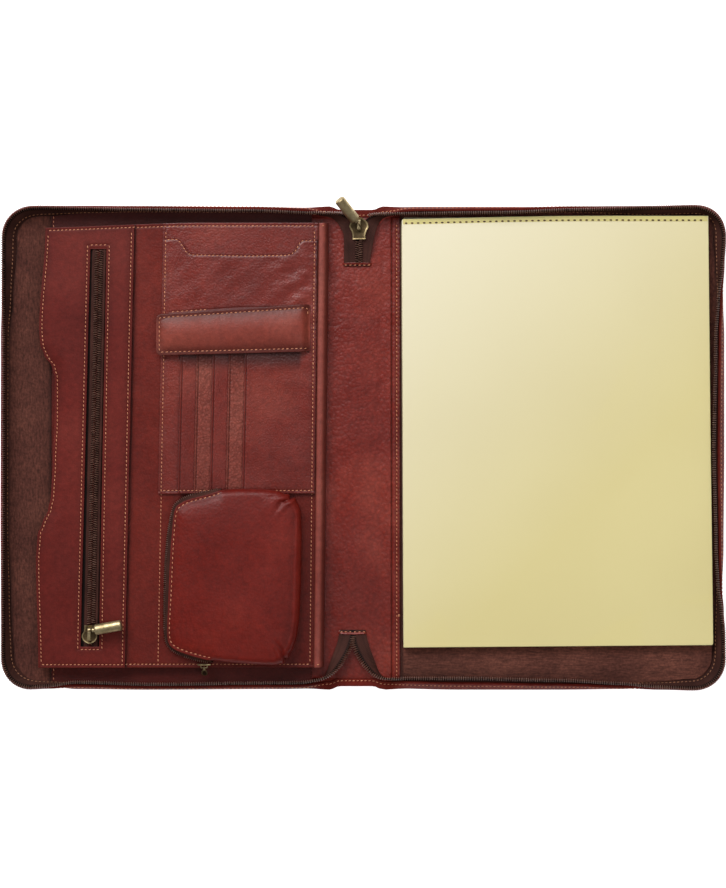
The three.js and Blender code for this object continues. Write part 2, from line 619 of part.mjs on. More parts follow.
function pouchShell() {
  const middle = new THREE.Vector3(-90, -90, 0);
  const turns = Array.from({ length: POUCH.steps }, (_, i) => i / POUCH.steps);
  // A deep inset goes straight towards the middle, so that the crown's rings stay clear of each other.
  const ringAt = (side, wall) =>
    turns.map((turn) => {
      const level = Math.max(side.level - wall, -0.01 * wall);
      const edge = pouchPoint(turn, Math.max(side.out, -POUCH.roll) - wall, level);
      const inward = Math.max(0, -POUCH.roll - side.out);
      const toMiddle = middle.clone().setZ(edge.z).sub(edge);
      return edge.addScaledVector(toMiddle.normalize(), inward);
    });
  const outer = POUCH_SIDES.map((side) => ringAt(side, 0));
  const foot = { level: POUCH.wall, out: POUCH_SIDES[0].out };
  const inner = [foot, ...POUCH_SIDES.slice(1)].map((side) => ringAt(side, POUCH.wall));
  const rings = [...inner.reverse(), ...outer];
  const count = POUCH.steps;
  const points = rings.flat();
  const triangles = [];
  for (let k = 0; k < rings.length - 1; k++)
    for (let i = 0; i < count; i++) {
      const [a, b] = [k * count + i, k * count + ((i + 1) % count)];
      triangles.push([a, b, b + count], [a, b + count, a + count]);
    }
  const last = (rings.length - 1) * count;
  for (const [ring, flip] of [[0, true], [last, false]]) {
    const centre = points.length;
    const crown = new THREE.Vector3();
    for (const p of points.slice(ring, ring + count)) crown.addScaledVector(p, 1 / count);
    points.push(crown);
    for (let i = 0; i < count; i++) {
      const [a, b] = [ring + i, ring + ((i + 1) % count)];
      triangles.push(flip ? [centre, b, a] : [centre, a, b]);
    }
  }
  return closedMesh(points, triangles);
}
// A strip in the pouch's side wall, where its zip goes, between two depths of the wall.
function pouchStrip(low, high, outer, inner, from, to) {
  const steps = 24;
  const sections = [];
  for (let i = 0; i <= steps; i++) {
    const turn = lerp(from, to, i / steps);
    const at = (level, depth) => pouchPoint(turn, read(POUCH_SIDES, "level", level, "out") - depth, level);
    sections.push([at(low, outer), at(low, inner), at(high, inner), at(high, outer)]);
  }
  return loft(sections);
}

// A slider in its own frame: x across the zip, y towards its wide end, z up from the middle of the tape.
function sliderSolid(size, half = false) {
  const [w, l] = [(SLIDER.width * size) / 2, (SLIDER.length * size) / 2];
  const deep = (SLIDER.channel / 2 + SLIDER.plate) * size;
  const tail = w * 0.66;
  const outline = new THREE.Shape();
  outline.moveTo(-tail, -l);
  outline.lineTo(tail, -l);
  outline.lineTo(tail, -l * 0.4);
  outline.bezierCurveTo(tail, -l * 0.1, w, -l * 0.1, w, l * 0.25);
  outline.bezierCurveTo(w, l * 0.75, w * 0.5, l, 0, l);
  outline.bezierCurveTo(-w * 0.5, l, -w, l * 0.75, -w, l * 0.25);
  outline.bezierCurveTo(-w, -l * 0.1, -tail, -l * 0.1, -tail, -l * 0.4);
  let body = solid(plate(outline, -deep, deep));
  const postOutline = new THREE.Shape().absellipse(0, l * 0.72, 1.05 * size, 2.2 * size, 0, Math.PI * 2);
  const post = solid(plate(postOutline, -deep, deep));
  const through = (half3) => solid(box(half3.map((v) => -v), half3));
  const slot = through([w + 1, l + 1, (SLIDER.slot / 2) * size]);
  const channel = through([w * 0.55, l + 1, (SLIDER.channel / 2) * size]);
  const under = solid(box([-w - 1, -l - 1, -deep - 1], [w + 1, l + 1, (SLIDER.channel / 2) * size]));
  body = body.subtract(half ? under : slot.add(channel).subtract(post));
  return { body, top: deep, length: l };
}

// A slider with the bar that carries its pull; rise is the bar's height over the slider's plate.
function slider(size, rise, bar, half) {
  const { body, top, length } = sliderSolid(size, half);
  const [from, to, post] = [-length * 0.74, length * 0.72, bar];
  const outline = (pairs) => pairs.map(([a, b]) => new THREE.Vector2(a, b));
  const [under, over] = [rise - bar / 2, rise + bar / 2];
  const side = outline([[from, 0], [to, 0], [to, over], [from, over]]);
  const eye = outline([[to - post, -1], [to - post, under], [from + post, under], [from + post, -1]]);
  const arch = solid(plate(side, -bar / 2, bar / 2)).subtract(solid(plate(eye, -bar, bar)));
  // The arch is drawn in a plane of length and height, so it is stood up on the plate.
  const axes = [new THREE.Vector3(0, 1, 0), new THREE.Vector3(0, 0, 1), new THREE.Vector3(1, 0, 0)];
  const stand = new THREE.Matrix4().makeBasis(...axes);
  const stood = meshOf(arch).applyMatrix4(stand).translate(0, 0, top - 0.05);
  return meshOf(body.add(solid(stood)));
}

// An eye in the plane of the pull's length and height, round the hinge axis along x.
function eyeRing(radius, hole, width) {
  const ring = new THREE.Shape().absarc(0, 0, radius, 0, Math.PI * 2);
  ring.holes.push(new THREE.Path().absarc(0, 0, hole, 0, Math.PI * 2, true));
  const geometry = new THREE.ExtrudeGeometry(ring, { depth: width, bevelEnabled: false, curveSegments: 10 });
  return geometry.translate(0, 0, -width / 2).rotateY(Math.PI / 2);
}

// A barrel pull: its eye, a neck and a round barrel along y.
function barrelPull() {
  const { radius, eye, hole, eyeWidth, from, length } = PULL;
  const profile = [
    [0, from], [1.3, from], [1.7, 3.8], [radius * 0.84, 4.5],
    [radius, 5.4], [radius, length - 0.8], [radius * 0.84, length], [0, length],
  ];
  const barrel = new THREE.LatheGeometry(profile.map(([r, y]) => new THREE.Vector2(r, y)), 16);
  return meshOf(solid(eyeRing(eye, hole, eyeWidth)).add(solid(barrel)));
}

// A small flat pull: its eye and a rounded blade.
function bladePull() {
  const { eye, hole, eyeWidth, width, thickness, length } = POUCH_PULL;
  const blade = new THREE.Shape();
  blade.moveTo(-eyeWidth / 2, eye * 0.8);
  blade.lineTo(eyeWidth / 2, eye * 0.8);
  blade.lineTo(width / 2, eye + 2);
  blade.lineTo(width / 2, length - width / 2);
  blade.absarc(0, length - width / 2, width / 2, 0, Math.PI);
  blade.lineTo(-width / 2, eye + 2);
  const leaf = solid(plate(blade, -thickness / 2, thickness / 2));
  return meshOf(solid(eyeRing(eye, hole, eyeWidth)).add(leaf));
}

// Outer cover, zip walls and linings
add("outer_cover", outerCover(), "outerLeather");
for (const [side, half, stations] of [[-1, "left", LEFT_STATIONS], [1, "right", RIGHT_STATIONS]]) {
  const route = tapeRoute(side, stations);
  add(`zip_tape_${half}`, zipTape(route), "tape");
  add(`zip_coil_${half}`, zipCoil(route, 5, route.length - 1), "coil");
}
const leftLining = liningOf(LEFT_STATIONS, LINING_Z, LINING_TOP);
const rightLining = liningOf(RIGHT_STATIONS, LINING_Z, LINING_TOP);
const BASE_SEAM = -217.4;
const SPINE_SEAM = -36;
add("lining_left", meshOf(leftLining.intersect(band(-300, BASE_SEAM - GAP / 2))), "suede");
const baseBand = band(BASE_SEAM + GAP / 2, SPINE_SEAM - GAP / 2);
add("base_leather", meshOf(leftLining.intersect(baseBand)), "leather");
const SPINE_EDGE = COVER.height / 2 - SPINE.notch - COVER.leather - 3.6;
const spineLow = [SPINE_SEAM + GAP / 2, -SPINE_EDGE, LINING_Z];
const spineHigh = [SPINE.seam - GAP / 2, SPINE_EDGE, LINING_TOP];
add("spine_lining", box(spineLow, spineHigh), "leather");
add("lining_right", meshOf(rightLining.intersect(band(SPINE.seam + GAP / 2, 300))), "suede");

// The zip's closed end below its slider
const CHAIN = { x: -3.2, from: 131, to: 143.6, half: 2.4 };
const CHAIN_SECTION = [[-1, 0], [1, 0], [0.7, 1.5], [-0.7, 1.5]];
const chainAt = (y, z) =>
  CHAIN_SECTION.map(([a, b]) => new THREE.Vector3(CHAIN.x + a * CHAIN.half, y, z + b));
add("zip_chain_end", loft([chainAt(CHAIN.from, 5.4), chainAt(CHAIN.to, 7.3)]), "coil");

// The organizer on the left cover
add("organizer_gusset", gusset(), "leather");
add("organizer_panel", plate(organizerOutline(0), PANEL.z, PANEL_TOP), "leather");
add("edge_roll", edgeRoll(), "leather");
add("zip_pocket_front", zipPocketFront(), "leather");
add("pocket_tape_left", alongWindow(-1.2, -9, 142.5, -142, POCKET_TAPE_Z, POCKET_TAPE_TOP), "tape");
add("pocket_tape_right", alongWindow(1.2, 9, 142.5, -142, POCKET_TAPE_Z, POCKET_TAPE_TOP), "tape");
const POCKET_COIL = [-2.9, 2.9, WINDOW.top - 0.5, -122.4, POCKET_TAPE_TOP + GAP, POCKET_TAPE_TOP + 1.9];
add("pocket_zip_coil", alongWindow(...POCKET_COIL), "coil");
const backing = [
  [lineAt(CARD_EDGE, PANEL.top), PANEL.top], [lineAt(CARD_EDGE, CARD_FOOT), CARD_FOOT],
  [lineAt(RIGHT_EDGE, CARD_FOOT) - 0.6, CARD_FOOT], [lineAt(RIGHT_EDGE, PANEL.top) - 0.6, PANEL.top],
];
const backingOutline = backing.map(([x, y]) => new THREE.Vector2(x, y));
add("card_backing", plate(backingOutline, BACKING_Z, BACKING_TOP), "leather");
add("scoop_pocket", scoopPocket(), "leather");
for (let i = 0; i < CARD_STRIPS.count; i++) add(`card_strip_${i + 1}`, cardLayer(i), "leather");
add("card_front", cardLayer(CARD_STRIPS.count), "leather");
add("flap", flap(), "leather");

// The zipped pouch: a shell open towards the organizer, with its zip let into its side
const zipCut = pouchStrip(POUCH.zipLow, POUCH.zipHigh, -4, POUCH.wall + 3, POUCH.zipFrom, POUCH.zipTo);
add("pouch_shell", meshOf(solid(pouchShell()).subtract(solid(zipCut))), "leather");
const [bandLow, bandHigh] = [POUCH.zipLow + GAP, POUCH.zipHigh - GAP];
const zipBand = [bandLow, bandHigh, 0.3, 1.3, POUCH.zipFrom + 0.004, POUCH.zipTo - 0.004];
add("pouch_zip_band", pouchStrip(...zipBand), "tape");

// The writing pad, held by its board in the pocket at the foot of the right cover
const BOARD_Z = LINING_TOP + GAP;
const POCKET_Z = BOARD_Z + PAD.board + GAP;
const PAD_POCKET = { top: -116.4, left: 27.6, leather: 1 };
// A point of the pad from its width and height, with the corners cut and the whole turned a little.
const trim = PAD.corner / PAD.width;
function padPoint(v, u, z) {
  const inEdge = v === 0 || v === 1;
  const x = PAD.left + PAD.turn * v + u * PAD.width;
  const cut = (u === 0 || u === 1) && inEdge ? PAD.corner * 0.5 : 0;
  const sideways = cut * (u === 0 ? 1 : -1);
  return new THREE.Vector3(x + sideways, PAD.top - v * PAD.height + cut * (v === 0 ? -1 : 1), z);
}
const padRows = [0, trim, 0.2, 0.5, 0.8, 0.9, 1 - trim, 1];
const padColumns = [0, trim, 0.25, 0.5, 0.75, 1 - trim, 1];
const boardTop = BOARD_Z + PAD.board;
add("pad_board", sheet(padRows, padColumns, (v, u) => padPoint(v, u, boardTop), PAD.board), "board");
const pocketRoom = solid(box([PAD_POCKET.left, -200, 0], [300, PAD_POCKET.top, 20]));
const pocketSheet = liningOf(RIGHT_STATIONS, POCKET_Z, POCKET_Z + PAD_POCKET.leather);
add("pad_pocket", meshOf(pocketSheet.intersect(pocketRoom)), "suede");
const paperTop = (v) => POCKET_Z + PAD.paper + PAD.curl * smoothstep(v, 0.5, 0.88);
add("pad_paper", sheet(padRows, padColumns, (v, u) => padPoint(v, u, paperTop(v)), PAD.paper), "paper");

// Sliders, each with its pull on a bar
function placed(mesh, position, yaw) {
  mesh.position.set(...position);
  mesh.rotation.z = degToRad(yaw);
  return mesh;
}
const barRise = PULL.radius + SLIDER.clearance;
const sliderTop = (size) => (SLIDER.channel / 2 + SLIDER.plate) * size;

const mainSlider = add("main_slider", slider(MAIN_SLIDER.size, barRise, SLIDER.bar), "brass");
placed(mainSlider, [MAIN_SLIDER.x, MAIN_SLIDER.y, MAIN_SLIDER.z], 0);
const pocketSlider = add("pocket_slider", slider(POCKET_SLIDER.size, barRise, SLIDER.bar), "brass");
placed(pocketSlider, [POCKET_SLIDER.x, POCKET_SLIDER.y, POCKET_SLIDER.z], POCKET_SLIDER.yaw);

function hungPull(name, geometry, pivot, yaw, lift) {
  const mesh = add(name, geometry, "brass");
  mesh.position.set(...pivot);
  mesh.rotation.order = "ZXY";
  mesh.rotation.set(degToRad(lift), 0, degToRad(yaw - 90));
  return mesh;
}
const mainHinge = MAIN_SLIDER.z + sliderTop(MAIN_SLIDER.size) + barRise;
const mainPivot = [MAIN_SLIDER.x, MAIN_SLIDER.y + MAIN_PULL.along, mainHinge];
hungPull("main_pull", barrelPull(), mainPivot, MAIN_PULL.yaw, MAIN_PULL.lift);
const pocketHinge = POCKET_SLIDER.z + sliderTop(POCKET_SLIDER.size) + barRise;
const pocketPivot = [POCKET_SLIDER.x, POCKET_SLIDER.y - POCKET_PULL.along, pocketHinge];
hungPull("pocket_pull", barrelPull(), pocketPivot, POCKET_PULL.yaw, POCKET_PULL.lift);

// The pouch's small slider lies on its zip at the foot of the pouch, facing the foot of the portfolio.
const [footNear, footFar] = [POUCH_CORNERS[1], POUCH_CORNERS[2]];
const POUCH_BULGE = 1.9;
const footShare = (POUCH_SLIDER.x - footNear.x) / (footFar.x - footNear.x);
const pouchFoot = lerp(footNear.y, footFar.y, footShare);
const pouchRise = POUCH_PULL.eye + SLIDER.clearance;
const pouchSlider = add("pouch_slider", slider(POUCH_SLIDER.size, pouchRise, 0.8, true), "brass");
const pouchFace = pouchFoot - POUCH_BULGE - GAP + (SLIDER.channel / 2) * POUCH_SLIDER.size;
pouchSlider.position.set(POUCH_SLIDER.x, pouchFace, POUCH_SLIDER.z);
const facingFoot = [new THREE.Vector3(0, 0, 1), new THREE.Vector3(-1, 0, 0), new THREE.Vector3(0, -1, 0)];
pouchSlider.quaternion.setFromRotationMatrix(new THREE.Matrix4().makeBasis(...facingFoot));
const pouchPivot = [POUCH_SLIDER.x, pouchFace - sliderTop(POUCH_SLIDER.size) - pouchRise, POUCH_SLIDER.z];
hungPull("pouch_pull", bladePull(), pouchPivot, -90, -POUCH_PULL.hang);

export default portfolio;
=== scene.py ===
# %% [markdown]
# # A zip-around leather portfolio, open on a table
# The real thing is two leather covers and a spine in one skin, with a zip round each cover, an organizer
# of pockets sewn on the left and a writing pad tucked into the right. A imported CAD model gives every
# piece its place. Here each soft CAD solid is replaced by a piece that is shaped, sewn and finished like
# leather, cloth, brass or paper. Lengths below are millimetres until a mesh is made.

# %% Load the frame
import math

import bpy
import numpy as np
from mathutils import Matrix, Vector
from mathutils.bvhtree import BVHTree


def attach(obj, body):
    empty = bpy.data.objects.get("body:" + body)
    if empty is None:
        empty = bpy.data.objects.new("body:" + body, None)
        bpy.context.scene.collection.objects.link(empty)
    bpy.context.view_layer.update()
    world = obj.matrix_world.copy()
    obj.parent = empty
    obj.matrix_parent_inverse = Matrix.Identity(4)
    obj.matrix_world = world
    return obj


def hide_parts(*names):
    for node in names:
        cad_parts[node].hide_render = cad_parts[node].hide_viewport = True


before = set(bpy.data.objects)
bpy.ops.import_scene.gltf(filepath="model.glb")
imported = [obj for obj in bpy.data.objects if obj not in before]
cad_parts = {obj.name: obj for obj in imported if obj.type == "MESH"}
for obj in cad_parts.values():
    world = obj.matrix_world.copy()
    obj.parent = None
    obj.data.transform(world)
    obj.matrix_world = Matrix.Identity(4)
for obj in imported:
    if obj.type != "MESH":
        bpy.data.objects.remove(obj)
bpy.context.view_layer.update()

MM = 0.001

# %% [markdown]
# ## The camera
# The photograph looks straight down, so the camera hangs over the middle of the page. A long lens keeps
# the walls of the zip from leaning outwards. The long side of the picture is the sensor's width, so the
# lens follows from the height of the camera and the length of table that it sees.

# %% Hang the camera
CAMERA_X, CAMERA_Y, CAMERA_HEIGHT = -0.00035, 0.0028, 1.7
SEEN_LENGTH = 0.6198
SENSOR = 36
bpy.ops.object.camera_add(location=(CAMERA_X, CAMERA_Y, CAMERA_HEIGHT), rotation=(0, 0, 0))
camera = bpy.context.object
camera.name = "camera"
camera.data.sensor_width = SENSOR
camera.data.lens = SENSOR * CAMERA_HEIGHT / SEEN_LENGTH
bpy.context.scene.camera = camera
print("lens", round(camera.data.lens, 1))

# %% [markdown]
# ## Table and light
# The photograph has a white table and one broad window-like light from the upper left, which fades
# towards the lower right. A large area light does that; a weaker one overhead and a pale world fill
# the shadows. The overhead light is hidden from glossy rays, because flat leather would mirror it straight
# into the camera and look hazy. A third light is the opposite: only glossy rays see it, as if a pale card
# stood beyond the head of the table, so wrinkles near the head catch a soft shine. The plain colour
# transform is chosen, because then a finish comes out close to the colour it was given.

# %% Table and light
scene = bpy.context.scene
scene.view_settings.view_transform = "Standard"


def softbox(name, place, size, power):
    bpy.ops.object.light_add(type="AREA", location=place)
    lamp = bpy.context.object
    lamp.name = name
    lamp.data.shape = "RECTANGLE"
    lamp.data.size, lamp.data.size_y = size
    lamp.data.energy = power
    lamp.rotation_euler = (Vector() - Vector(place)).to_track_quat("-Z", "Y").to_euler()
    return lamp


softbox("window_light", (-0.84, 1.5, 1.55), (1.9, 1.1), 52)
top_fill = softbox("top_fill", (0.5, -0.35, 1.7), (1.2, 1.2), 11)
top_fill.visible_glossy = False
sheen_card = softbox("sheen_card", (-0.1, 0.95, 1.5), (1.5, 0.8), 8)
sheen_card.visible_diffuse = False
world = bpy.data.worlds.new("studio")
scene.world = world
world.use_nodes = True
sky = world.node_tree.nodes["Background"].inputs
sky["Color"].default_value = (1, 0.99, 0.98, 1)
sky["Strength"].default_value = 0.2
TABLE_SIZE, TABLE_Z = 14, -0.0004  # a hair below the leather, so the two don't flicker
bpy.ops.mesh.primitive_plane_add(size=TABLE_SIZE, location=(0, 0, TABLE_Z))
table_top = bpy.context.object
table_top.name = "table_top"

# %% [markdown]
# ## Finishes
# A finish is a short chain of nodes: where on the piece (Object coordinates), a pattern, a colour ramp,
# and a bump. Leather has slow patches of tone, small mottles, pores with painted shade in their valleys,
# and a darker line where a seam is pulled tight. That line, and shade painted beside seams, in creases and
# gaps, under the walls and the flap, towards some pieces' heads or feet and along the edges of padded pieces,
# come from a number that each sheet stores on its points. Numbers that don't change over a surface are set
# straight on the shader.


# %% A new finish and its nodes
def tone(red, green, blue):
    """A colour read from a picture, 0 to 255, as the linear colour that shaders use."""
    values = [v / 255 for v in (red, green, blue)]
    return tuple(v / 12.92 if v <= 0.04045 else ((v + 0.055) / 1.055) ** 2.4 for v in values) + (1.0,)


def new_finish(name):
    made = bpy.data.materials.new(name)
    made.use_nodes = True
    tree = made.node_tree
    where = tree.nodes.new("ShaderNodeTexCoord").outputs["Object"]
    return made, tree, tree.nodes["Principled BSDF"], where


def node(tree, kind, sockets, **settings):
    made = tree.nodes.new("ShaderNode" + kind)
    for key, value in settings.items():
        setattr(made, key, value)
    for key, value in sockets.items():
        if isinstance(value, bpy.types.NodeSocket):
            tree.links.new(value, made.inputs[key])
        else:
            made.inputs[key].default_value = value
    return made


# %% Patterns, shades and bumps
def noise(tree, where, scale, detail=3.0, roughness=0.5):
    made = node(tree, "TexNoise", {"Vector": where, "Scale": scale, "Detail": detail, "Roughness": roughness})
    return made.outputs["Fac"]


def shades(tree, factor, stops):
    ramp = node(tree, "ValToRGB", {"Fac": factor})
    elements = ramp.color_ramp.elements
    while len(elements) < len(stops):
        elements.new(0.5)
    for element, (place, colour) in zip(elements, stops):
        element.position = place
        element.color = colour
    return ramp.outputs["Color"]


def mixed(tree, share, first, second, way="MIX"):
    made = node(tree, "MixRGB", {"Fac": share, "Color1": first, "Color2": second}, blend_type=way)
    return made.outputs["Color"]


def scaled(tree, value, low, high, from_low=0.25, from_high=0.75):
    sockets = {"Value": value, "From Min": from_low, "From Max": from_high, "To Min": low, "To Max": high}
    return node(tree, "MapRange", sockets).outputs["Result"]


def seam_and_shade_value(tree):
    """The number that a laid sheet stores on its points: how near a stitched line, cut edge or fold is, and
    how much shade is painted there.
    """
    return node(tree, "Attribute", {}, attribute_name="seam_and_shade").outputs["Fac"]


def bumped(tree, height, strength, depth_mm, below=None):
    sockets = {"Height": height, "Strength": strength, "Distance": depth_mm * MM}
    if below is not None:
        sockets["Normal"] = below
    return node(tree, "Bump", sockets).outputs["Normal"]


def set_shader(tree, shader, **sockets):
    names = {"colour": "Base Color", "roughness": "Roughness", "normal": "Normal", "metal": "Metallic",
             "shine": "Specular IOR Level"}
    for key, value in sockets.items():
        socket = shader.inputs[names.get(key, key.replace("_", " ").title())]
        if isinstance(value, bpy.types.NodeSocket):
            tree.links.new(value, socket)
        else:
            socket.default_value = value


GREY = [(0.3, (0.74, 0.74, 0.74, 1)), (0.7, (1.16, 1.14, 1.12, 1))]
SPECKLE = [(0.32, (0.5, 0.5, 0.5, 1)), (0.68, (1.5, 1.46, 1.42, 1))]
# Pebble tones: lighter on a pebble's top, with painted shade in the valleys between pebbles.
PEBBLE = [(0.1, (1.16, 1.15, 1.14, 1)), (0.75, (0.72, 0.68, 0.66, 1))]
print("finish helpers ready")


# %% Leather
def leather_finish(name, deep, middle, bright, gloss, pores=620, varnish=0.05, grain=0.16, shine=0.17):
    """Three tones of a hide, its roughness, its pores to the metre, and how varnished, grained and shiny."""
    made, tree, shader, where = new_finish(name)
    patches = noise(tree, where, 13, 5, 0.6)
    colour = shades(tree, patches, [(0.26, tone(*deep)), (0.5, tone(*middle)), (0.76, tone(*bright))])
    mottles = shades(tree, noise(tree, where, 260, 5, 0.7), GREY)
    colour = mixed(tree, 0.95, colour, mottles, "MULTIPLY")
    # Toward a dark red-brown by the sheet's number: dark lines at seams, and painted shade beside seams, in
    # creases and gaps, under the walls and the flap and along the edges of padded pieces.
    colour = mixed(tree, scaled(tree, seam_and_shade_value(tree), 0.0, 0.95, 0.1, 2.3), colour, tone(46, 13, 11))
    stirred = node(tree, "TexNoise", {"Vector": where, "Scale": 0.4 * pores}).outputs["Color"]
    warp = node(tree, "VectorMath", {0: stirred, 1: (1 / pores,) * 3, 2: where}, operation="MULTIPLY_ADD")
    cells = node(tree, "TexVoronoi", {"Vector": warp.outputs["Vector"], "Scale": pores}, feature="F1")
    # Painted shade in the grain's valleys, lighter on the pebbles' tops.
    pebbles = shades(tree, cells.outputs["Distance"], PEBBLE)
    colour = mixed(tree, min(1.0, 1.6 * grain), colour, pebbles, "MULTIPLY")
    creases = noise(tree, where, 95, 6, 0.7)
    normal = bumped(tree, cells.outputs["Distance"], grain, -0.8)
    normal = bumped(tree, creases, 0.5, 0.6, normal)
    rough = scaled(tree, noise(tree, where, 55, 4), gloss - 0.07, gloss + 0.1)
    set_shader(tree, shader, colour=colour, roughness=rough, normal=normal)
    set_shader(tree, shader, coat_weight=varnish, coat_roughness=0.34, shine=shine)
    return made


LEATHER = leather_finish(
    "saddle_leather", (80, 17, 11), (99, 27, 19), (118, 40, 30), 0.42, shine=0.16)
SMOOTH_LEATHER = leather_finish(
    "smooth_leather", (86, 26, 22), (100, 32, 27), (113, 42, 35), 0.48, 900, grain=0.1, shine=0.1)
WORN_LEATHER = leather_finish(
    "worn_leather", (92, 20, 12), (112, 31, 21), (136, 53, 39), 0.36, 700, grain=0.22, shine=0.38)
GRAINED_LEATHER = leather_finish(
    "grained_leather", (106, 43, 34), (128, 60, 50), (149, 81, 68), 0.44, 600, grain=0.5)
SPINE_LEATHER = leather_finish(
    "spine_leather_finish", (94, 19, 12), (117, 32, 22), (142, 53, 38), 0.36, 440, grain=0.34, shine=0.32)
# Lighter tones than the other leathers: a painted highlight on the padded flap.
FLAP_LEATHER = leather_finish(
    "flap_leather", (110, 40, 31), (129, 55, 44), (142, 69, 56), 0.4, 700, 0.06, 0.12, 0.21)
# Lighter tones than the organizer's own leather: a painted highlight on the rolled edge.
ROLL_LEATHER = leather_finish(
    "roll_leather", (118, 50, 42), (138, 67, 57), (150, 80, 68), 0.42, 700, 0.2, 0.1)
POUCH_LEATHER = leather_finish(
    "pouch_leather", (90, 16, 9), (110, 25, 16), (128, 39, 27), 0.42, 560, shine=0.2)
OUTER_LEATHER = leather_finish(
    "outer_leather", (80, 20, 15), (104, 32, 24), (124, 48, 38), 0.62, 560, 0.0, shine=0.08)
print("leathers", [m.name for m in bpy.data.materials if "leather" in m.name])


# %% Cut edges, thread and lining
def edge_finish():
    made, tree, shader, where = new_finish("painted_edge")
    colour = shades(tree, noise(tree, where, 240, 4), [(0.3, tone(30, 10, 9)), (0.75, tone(66, 24, 19))])
    set_shader(tree, shader, colour=colour, roughness=0.5)
    return made


def thread_finish(name, dark, light):
    made, tree, shader, where = new_finish(name)
    colour = shades(tree, noise(tree, where, 420, 3), [(0.3, tone(*dark)), (0.7, tone(*light))])
    twist = node(tree, "TexWave", {"Vector": where, "Scale": 1500}, bands_direction="DIAGONAL")
    set_shader(tree, shader, colour=colour, roughness=0.6)
    set_shader(tree, shader, normal=bumped(tree, twist.outputs["Fac"], 0.3, 0.1))
    return made


def suede_finish(name, dark, light, nap_run):
    """Brushed lining: fine streaks of nap that run one way."""
    made, tree, shader, where = new_finish(name)
    stretched = node(tree, "Mapping", {"Vector": where, "Scale": nap_run}).outputs["Vector"]
    nap = noise(tree, stretched, 850, 4, 0.7)
    clouds = noise(tree, where, 26, 4, 0.6)
    colour = shades(tree, clouds, [(0.3, tone(*dark)), (0.72, tone(*light))])
    colour = mixed(tree, 0.85, colour, shades(tree, nap, SPECKLE), "MULTIPLY")
    flecks = noise(tree, where, 620, 3, 0.6)
    colour = mixed(tree, 0.5, colour, shades(tree, flecks, SPECKLE), "MULTIPLY")
    colour = mixed(tree, scaled(tree, seam_and_shade_value(tree), 0.0, 0.6, 0.1, 0.9), colour, tone(30, 17, 14))
    normal = bumped(tree, nap, 0.5, 0.3)
    set_shader(tree, shader, colour=colour, roughness=0.92, normal=normal)
    set_shader(tree, shader, sheen_weight=0.12, sheen_roughness=0.5, shine=0.14)
    return made


EDGE = edge_finish()
THREAD = thread_finish("waxed_thread", (186, 112, 78), (222, 152, 112))
PAD_THREAD = thread_finish("pad_stitching", (46, 22, 12), (84, 44, 24))
TAPE_THREAD = thread_finish("tape_stitching", (122, 76, 53), (172, 115, 80))
SUEDE = suede_finish("brushed_lining", (68, 36, 30), (90, 52, 43), (1, 0.25, 1))
CROSS_SUEDE = suede_finish("cross_brushed_lining", (74, 41, 34), (98, 58, 48), (0.2, 1, 1))
print("edge", EDGE.name, "threads", THREAD.name, PAD_THREAD.name, "lining", SUEDE.name)


# %% Zip tape and teeth
def tape_finish():
    """Zip tape is a tight twill, so two sets of slanting bands cross each other."""
    made, tree, shader, where = new_finish("zip_twill")
    slanting = {"Vector": where, "Scale": 520, "Distortion": 0.6}
    ribs = node(tree, "TexWave", slanting, bands_direction="DIAGONAL")
    picks = node(tree, "TexWave", {"Vector": where, "Scale": 760}, bands_direction="Y")
    colour = shades(tree, noise(tree, where, 60, 4), [(0.3, tone(52, 28, 23)), (0.72, tone(74, 42, 35))])
    colour = mixed(tree, 0.5, colour, shades(tree, ribs.outputs["Fac"], GREY), "MULTIPLY")
    # Toward near black by the tape's number: its sewn line, and painted shade under the teeth and under the
    # window's edges.
    colour = mixed(tree, scaled(tree, seam_and_shade_value(tree), 0.0, 0.96, 0.05, 1.0), colour, tone(10, 6, 5))
    normal = bumped(tree, ribs.outputs["Fac"], 0.4, 0.2)
    normal = bumped(tree, picks.outputs["Fac"], 0.25, 0.15, normal)
    set_shader(tree, shader, colour=colour, roughness=0.8, normal=normal, shine=0.15)
    return made


def tooth_finish():
    made, tree, shader, where = new_finish("nylon_teeth")
    colour = shades(tree, noise(tree, where, 300, 3), [(0.3, tone(70, 45, 37)), (0.7, tone(122, 88, 75))])
    rough = scaled(tree, noise(tree, where, 150), 0.24, 0.36)
    set_shader(tree, shader, colour=colour, roughness=rough, shine=0.7)
    return made


TAPE = tape_finish()
TEETH = tooth_finish()
print("zip", TAPE.name, TEETH.name)


# %% Brass, paper and board
def brass_finish(name, dark, bright):
    """Antiqued brass: bright where hands rub it, brown where the patina stays."""
    made, tree, shader, where = new_finish(name)
    rubbed = noise(tree, where, 170, 5, 0.6)
    colour = shades(tree, rubbed, [(0.3, tone(*dark)), (0.7, tone(*bright))])
    scratches = node(tree, "Mapping", {"Vector": where, "Scale": (1, 0.2, 1)}).outputs["Vector"]
    fine = noise(tree, scratches, 1800, 3)
    rough = scaled(tree, rubbed, 0.52, 0.38)
    set_shader(tree, shader, colour=colour, roughness=rough, metal=0.9)
    set_shader(tree, shader, normal=bumped(tree, fine, 0.12, 0.08))
    return made


